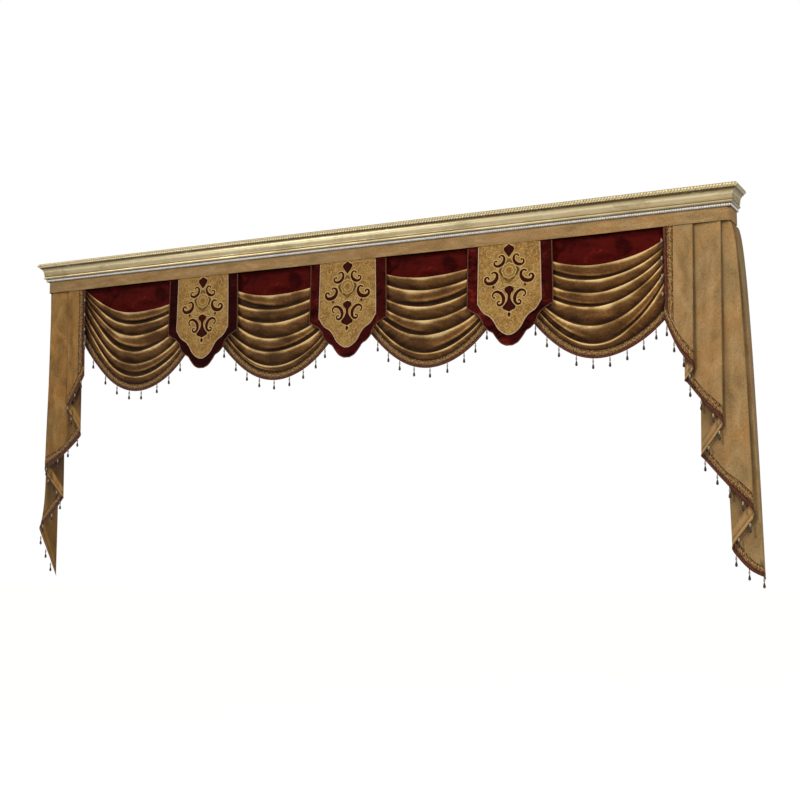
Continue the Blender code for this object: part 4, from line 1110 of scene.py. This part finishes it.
def tail_path(pleats):
    """The fine stops of a tail, each with the height of the hem's trim and the gap above it."""
    coarse = tail_stops(pleats, CAD_FOLD_STEPS, CAD_PANEL_STEPS)
    steepness = hem_steepness(coarse, [stop["level"] for stop in coarse])
    for index, stop in enumerate(coarse):
        near = steepness[max(index - 1, 0):index + 2]
        stop["height"] = HEM_TRIM_WIDTH * min(sum(near) / len(near), HEM_TRIM_STEEPEST)
    steepness = hem_steepness(coarse, [stop["level"] + stop["height"] for stop in coarse])
    places = [stop["at"] for stop in coarse]
    stops = tail_stops(pleats, TAIL_FOLD_STEPS, dict.fromkeys(CAD_PANEL_STEPS, TAIL_PANEL_STEPS))
    for stop in stops:
        stop["height"] = np.interp(stop["at"], places, [other["height"] for other in coarse])
        stop["gap"] = HEM_GAP * np.interp(stop["at"], places, steepness)
    return stops


def path_at(stops, run):
    for first, second in zip(stops, stops[1:]):
        if run <= second["run"]:
            share = (run - first["run"]) / max(1e-9, second["run"] - first["run"])
            return between(first, second, share, first.keys() - {"fold"})
    return stops[-1]


def run_at(stops, width):
    """The distance along the hem of the point this far from the tail's inner edge."""
    for first, second in zip(stops, stops[1:]):
        near, far = (abs(stop["hem"][0] - stops[0]["hem"][0]) for stop in (first, second))
        if width <= far:
            return blend(first["run"], second["run"], (width - near) / (far - near))


# How dark the panel beside a fold is, how far that reaches for each fold, and over which length it
# fades out at the hem.
FOLD_SHADE = {"left": 0.06, "right": 0.40}
FOLD_REACH = (0.012, 0.012, 0.005)
FOLD_FADE = 0.06
POCKET_SHADE = {"left": (0.55, 0.16), "right": (0.50, 0.09)}  # how dark and how deep a hem's pocket is
LOW_SHADE = {"left": 0.17, "right": 0.0}  # how much darker a tail gets towards its foot
CREASE_LIGHT_AND_SHADE = 70  # painted light and shade, per metre of a crease's height
TAIL_CREASE_WIDTH = 0.017
# Soft creases that run down from the band: x and level where each starts, x where it ends, its fall
# and height.
TAIL_CREASES = {
    "left": ((1.585, -0.02, 1.560, 0.42, 0.0022), (1.690, -0.30, 1.665, 0.60, 0.0014)),
    "right": ((1.510, -0.08, 1.575, 0.22, 0.0034), (1.515, -0.20, 1.580, 0.18, 0.0030),
              (1.680, -0.10, 1.650, 0.60, 0.0016), (1.700, -0.40, 1.720, 0.60, 0.0016)),
}


def tail_crease(name, x, level):
    """The creases' height at a place, and their tone: a painted highlight on the ridge, painted shade beside
    it.
    """
    ripple = tone = 0.0
    for start_x, start, end_x, fall, height in TAIL_CREASES[name]:
        along = (start - level) / fall
        if 0 < along < 1:
            away = (x - blend(start_x, end_x, along)) / TAIL_CREASE_WIDTH
            fade = height * math.sin(math.pi * along)
            ripple += fade * ridge(away)
            tone += CREASE_LIGHT_AND_SHADE * fade * (ridge(away) - 0.9 * ridge(away, 1.7))
    return ripple, tone


def tail_ripple(name, x, level):
    """Soft unevenness that all layers of a tail share, so that they stay clear of each other."""
    ripple = 0.0016 * math.sin(31 * x + 2.4 * level) + 0.0010 * math.sin(55 * x - 6.5 * level + 1.0)
    return (ripple + tail_crease(name, x, level)[0]) * ease(-level / 0.12)


def tail_spread(level, hem, flare):
    """How far the cloth has spread from its plan at the top to that at the hem."""
    return max(0.0, (TAIL_FREE - level) / (TAIL_FREE - hem)) ** flare


def tail_point(name, side, stop, level):
    x, out = blend(stop["top"], stop["hem"], tail_spread(level, stop["level"], stop["flare"]))
    wave = TAIL_WAVE * stop["free"] * ease(-level / 0.3) * math.sin(5 * level + 14 * x)
    wave += tail_ripple(name, x, level) * ease((out - 0.05) / 0.04)
    return place(side * x, out + wave, level)


def tail_tone(name, pleats, stop, level):
    """The shade that a fold casts on the panel behind it and on the pocket below, and the creases' tone."""
    x = blend(stop["top"][0], stop["hem"][0], tail_spread(level, stop["level"], stop["flare"]))
    tone = 0.5 + tail_crease(name, x, level)[1] - LOW_SHADE[name] * ease((-0.45 - level) / 0.7)
    strength, depth = POCKET_SHADE[name]
    for index, pleat in enumerate(pleats):
        if pleat.kind != "outer":
            continue
        if stop["at"] > index + 1.05 and level > pleat.level - FOLD_FADE:
            beside = x - blend(pleat.x_top, pleat.x_hem, tail_spread(level, pleat.level, pleat.flare))
            reach = FOLD_REACH[index // 2]
            shade = FOLD_SHADE[name] * ease((level - pleat.level + FOLD_FADE) / FOLD_FADE)
            tone -= shade * ease((beside + reach) / reach) * math.exp(-max(0.0, beside) / reach)
        if index + 0.1 < stop["at"] < index + 2.0:
            front = pleats[index - 1]
            share = (x - front.x_hem) / (pleat.x_hem - front.x_hem)
            below = blend(front.level, pleat.level, share) - level
            shade = strength * ease((1.1 - share) / 0.15) * ease((below + 0.03) / 0.03)
            tone -= shade * math.exp(-max(0.0, below) / depth)
    return tone


def hem_drop_runs(stops):
    """Where drops hang along the hem: evenly, but not at a fold."""
    folds = [stop["run"] for stop in stops if stop["fold"]]
    found, run = [], DROP_SPACING * 0.35
    while run < stops[-1]["run"] - DROP_SPACING * 0.3:
        if all(abs(run - fold) > DROP_CLEAR_OF_FOLD for fold in folds):
            found.append(run)
            run += DROP_SPACING
        else:
            run += DROP_ROOT
    return found


def make_tail(name, side, pleats):
    stops = tail_path(pleats)
    edge_run = run_at(stops, EDGE_TRIM_WIDTH - UNDER_TRIM)
    grid, tone = [], []
    for stop in (path_at(stops, edge_run), *(stop for stop in stops if stop["run"] > edge_run + 0.003)):
        bottom = stop["level"] + stop["height"] - UNDER_TRIM
        falls = (blend(TAIL_FREE, bottom, (j / TAIL_ROWS) ** 1.3) for j in range(TAIL_ROWS + 1))
        levels = [HEADER_TOP, 0.03, *falls]
        grid.append([tail_point(name, side, stop, level) for level in levels])
        tone.append([tail_tone(name, pleats, stop, level) for level in levels])
    grid = np.array(grid)
    tail = make_cloth(f"tail_{name}", grid, f"chenille_tail_{name}", side, tone=tone)

    def hem_line(low, high):
        def at(share, across):
            stop = path_at(stops, share * stops[-1]["run"])
            return tail_point(name, side, stop, stop["level"] + stop["height"] * blend(high, low, across))
        return at

    def edge_line(near, far):
        def at(share, across):
            stop = path_at(stops, run_at(stops, (EDGE_TRIM_WIDTH - GAP) * blend(far, near, across)))
            end = stop["level"] + stop["height"] + stop["gap"]
            return tail_point(name, side, stop, blend(HEADER_TOP, end, share))
        return at

    trimmings = [make_trim(f"tail_{name}_hem_braid", hem_line, HEM_TRIM, HEM_TRIM_WIDTH,
                           f"hem_trim_{name}", side, HEM_STEPS, (f"chenille_tail_{name}", "hem_cord"))]
    edge_of_hem = (hem_line(0.0, 1.0)(run / stops[-1]["run"], 1.0) for run in hem_drop_runs(stops))
    points = [(x, y - DROP_FORWARD, z + DROP_LIFT) for x, y, z in edge_of_hem]
    trimmings.append(make_drops(f"tail_{name}_hem_drops", points))
    trimmings.append(make_trim(f"tail_{name}_edge_braid", edge_line, EDGE_TRIM, EDGE_TRIM_WIDTH,
                               f"edge_trim_{name}", side))
    fall = TAIL_FREE - stops[0]["level"] - stops[0]["height"] - stops[0]["gap"]
    inner_edge = (tail_point(name, side, stops[0], TAIL_FREE - DROP_SPACING * (k + 0.55))
                  for k in range(int(fall / DROP_SPACING)))
    sideways_shift, forwards = EDGE_DROP_SHIFT
    points = [(x - side * sideways_shift, y - forwards, z) for x, y, z in inner_edge]
    trimmings.append(make_drops(f"tail_{name}_edge_drops", points))
    declare(tail, grid, trimmings)


# ---- Band and cornice ---------------------------------------------------------------------------


def make_band():
    run = HALF_LENGTH - SHEET / 2
    straight, corner = run - BAND_CORNER, BAND_OUT - BAND_CORNER
    end = [(-run, blend(BAND_END, corner, k / 8)) for k in range(8)]
    for turn in np.radians(range(0, 90, 9)):
        end.append((-straight - BAND_CORNER * math.cos(turn), corner + BAND_CORNER * math.sin(turn)))
    front = [(x, BAND_OUT) for x in np.linspace(-straight, straight, BAND_COLUMNS)]
    path = [*end, *front, *((-x, out) for x, out in reversed(end))]

    def at(point, share):
        droop = BAND_DROOP * math.sin(7.0 * point[0]) * math.cos(2.3 * point[0])
        return place(*point, blend(BAND_TOP, droop, share))

    grid = grid_of(path, np.linspace(0, 1, BAND_ROWS), at)
    band = make_cloth("heading_band", grid, "chenille_band", sharp=60)
    declare(band, grid)


def bead_lengths():
    """The three lengths of a cornice bead: name, axis, place of a run along it, and how long it is.

    Both functions take how far the bead's line is proud of the band.
    """
    def front_length(proud):
        return 2 * (HALF_LENGTH + proud - MITRE_GAP)

    def side_length(proud):
        return BAND_FRONT + proud - MITRE_GAP - GAP

    def at_side(side):
        return lambda proud, run: (side * (HALF_LENGTH + proud), BAND_FRONT + proud - MITRE_GAP - run)

    def at_front(proud, run):
        return run - front_length(proud) / 2, BAND_FRONT + proud

    yield "front", (1, 0, 0), at_front, front_length
    yield "left", (0, 1, 0), at_side(-1), side_length
    yield "right", (0, 1, 0), at_side(1), side_length


def make_rope():
    """The cornice's top bead: a carved rope of two strands, flat at the back."""
    lean = math.acos((ROPE["back"] - ROPE["proud"]) / ROPE["radius"])
    turns = np.linspace(-lean, lean, ROPE_SIDES)
    for name, _, at, length in bead_lengths():
        total = length(ROPE["proud"])
        shares = np.linspace(0, 1, int(total / ROPE_PITCH * 12) + 1)
        strand = np.abs(np.cos(turns - 2 * math.pi * total / ROPE_PITCH * shares[:, None]))
        radius = ROPE["radius"] * (1 - ROPE_GROOVE + ROPE_GROOVE * strand ** 0.8)
        radius[:, [0, -1]] = ROPE["radius"]
        proud = ROPE["proud"] + radius * np.cos(turns)
        level = CORNICE_LEVEL + ROPE["rise"] + radius * np.sin(turns)
        x, out = at(proud, shares[:, None] * length(proud))
        rope = Piece()
        rope.tube(np.stack(place(x, out, level), axis=2), 0.1 + 0.9 * strand)
        rope.make(f"cornice_rope_{name}", ["leaf_rope"], [f"rope_bead_{name}"], 80)


def make_pearls():
    """The silver bead under the moulding: a string of round pearls on a flat strip."""
    back, low, high = PEARL["back"], PEARL["low"], PEARL["high"]
    section = ((back, low), (back + 0.0012, low + 0.0004), (back + 0.0012, high - 0.0004), (back, high))
    radius = PEARL_ROOM * (high - low) / 2
    ball = [(-radius * math.cos(turn), max(0.0003, radius * math.sin(turn)))
            for turn in np.radians(range(0, 181, 30))]
    for name, axis, at, length in bead_lengths():
        strip = Piece()
        strip.tube(np.array([[place(*at(proud, share * length(proud)), CORNICE_LEVEL + rise)
                              for proud, rise in section] for share in (0.0, 1.0)]), 0.1)
        count = int(length(back) / (radius * PEARL_SPACING))
        for k in range(count):
            x, out = at(back + GAP, length(back + GAP) * (k + 0.5) / count)
            strip.bead(place(x, out, CORNICE_LEVEL + (low + high) / 2), ball, axis, 8, 0.85)
        strip.make(f"cornice_pearls_{name}", ["leaf_pearls"], [f"pearl_bead_{name}"], 80)


# ---- The scene ----------------------------------------------------------------------------------

FLOOR, FLOOR_REACH = -3.10, 60.0
SUN_FROM, SUN_SPREAD = (-0.50, -0.62, 0.62), 10
SUN_POWER, SUN_COLOUR = 1.8, (1.0, 0.93, 0.80)
SKY_LIGHT = (0.245, 0.260, 0.285, 1.0)
CAMERA_AT = (3.032, -5.669, -1.504)
CAMERA_TURN = (96.53, 0.0, 26.48)
CAMERA_LENS, CAMERA_SENSOR = 62.73, 36.0
# Studio lamps: name, place, target, size, power, colour and whether the lamp lights matt surfaces.
LAMPS = (
    ("fill", (4.6, -4.2, 1.2), (1.0, 0.0, -0.5), 2.5, 190.0, (1.0, 0.98, 0.95), True),
    ("gloss", (-1.5, -1.7, -2.1), (-0.1, -0.15, 0.0), 1.7, 90.0, (0.86, 0.94, 1.0), False),
)


def add_camera():
    data = bpy.data.cameras.new("camera")
    data.lens, data.sensor_width = CAMERA_LENS, CAMERA_SENSOR
    camera = add_object("camera", data)
    camera.location = CAMERA_AT
    camera.rotation_euler = [math.radians(angle) for angle in CAMERA_TURN]
    bpy.context.scene.camera = camera


def add_lamp(name, at, target, size, power, colour, diffuse):
    data = bpy.data.lights.new(name, "AREA")
    data.shape, data.size, data.energy, data.color = "DISK", size, power, colour
    lamp = add_object(name, data)
    lamp.location = at
    lamp.rotation_euler = (Vector(target) - Vector(at)).to_track_quat("-Z", "Y").to_euler()
    lamp.visible_diffuse = diffuse


def add_sun():
    data = bpy.data.lights.new("sun", "SUN")
    data.energy, data.angle, data.color = SUN_POWER, math.radians(SUN_SPREAD), SUN_COLOUR
    add_object("sun", data).rotation_euler = Vector(SUN_FROM).to_track_quat("Z", "Y").to_euler()


def add_floor():
    mesh = bpy.data.meshes.new("floor")
    corners = [(x * FLOOR_REACH, y * FLOOR_REACH, FLOOR) for x, y in ((-1, -1), (1, -1), (1, 1), (-1, 1))]
    mesh.from_pydata(corners, [], [(0, 1, 2, 3)])
    mesh.materials.append(MATERIALS["pale_floor"])
    floor = add_object("floor", mesh)
    floor.visible_diffuse = False  # a white sweep, which shouldn't light the folds from below


def add_world():
    """A dim sky that lights the object, white where the camera sees it."""
    world = bpy.data.worlds.new("studio")
    bpy.context.scene.world = world
    world.use_nodes = True
    tree = world.node_tree
    backdrop = tree.nodes.new("ShaderNodeMix")
    backdrop.data_type = "RGBA"
    tree.links.new(tree.nodes.new("ShaderNodeLightPath").outputs["Is Camera Ray"], backdrop.inputs[0])
    backdrop.inputs[6].default_value, backdrop.inputs[7].default_value = SKY_LIGHT, (1.0, 1.0, 1.0, 1.0)
    tree.links.new(backdrop.outputs[2], tree.nodes["Background"].inputs[0])
    bpy.context.scene.view_settings.view_transform = "Standard"
    bpy.context.scene.view_settings.look = "None"


def finish_cad_nodes():
    """The moulding and the boards stay as the CAD has them and only get their finish."""
    for name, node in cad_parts.items():
        for start, finish in (("cornice_moulding", "leaf_moulding"), ("pelmet", "pine_board")):
            for material_slot in node.material_slots if name.startswith(start) else ():
                material_slot.material = MATERIALS[finish]


add_camera()
add_floor()
add_world()
add_sun()
for lamp_row in LAMPS:
    add_lamp(*lamp_row)
finish_cad_nodes()
make_band()
make_rope()
make_pearls()
for swag_number, swag_row in enumerate(SWAGS, start=1):
    make_backing(swag_number, swag_row)
    make_swag(swag_number, swag_row)
for shield_number in (1, 2, 3):
    make_shield(shield_number, (shield_number - 2) * SHIELD_SPACING)
for tail_name, tail_side in (("left", -1), ("right", 1)):
    make_tail(tail_name, tail_side, [Pleat(*row) for row in TAILS[tail_name]])
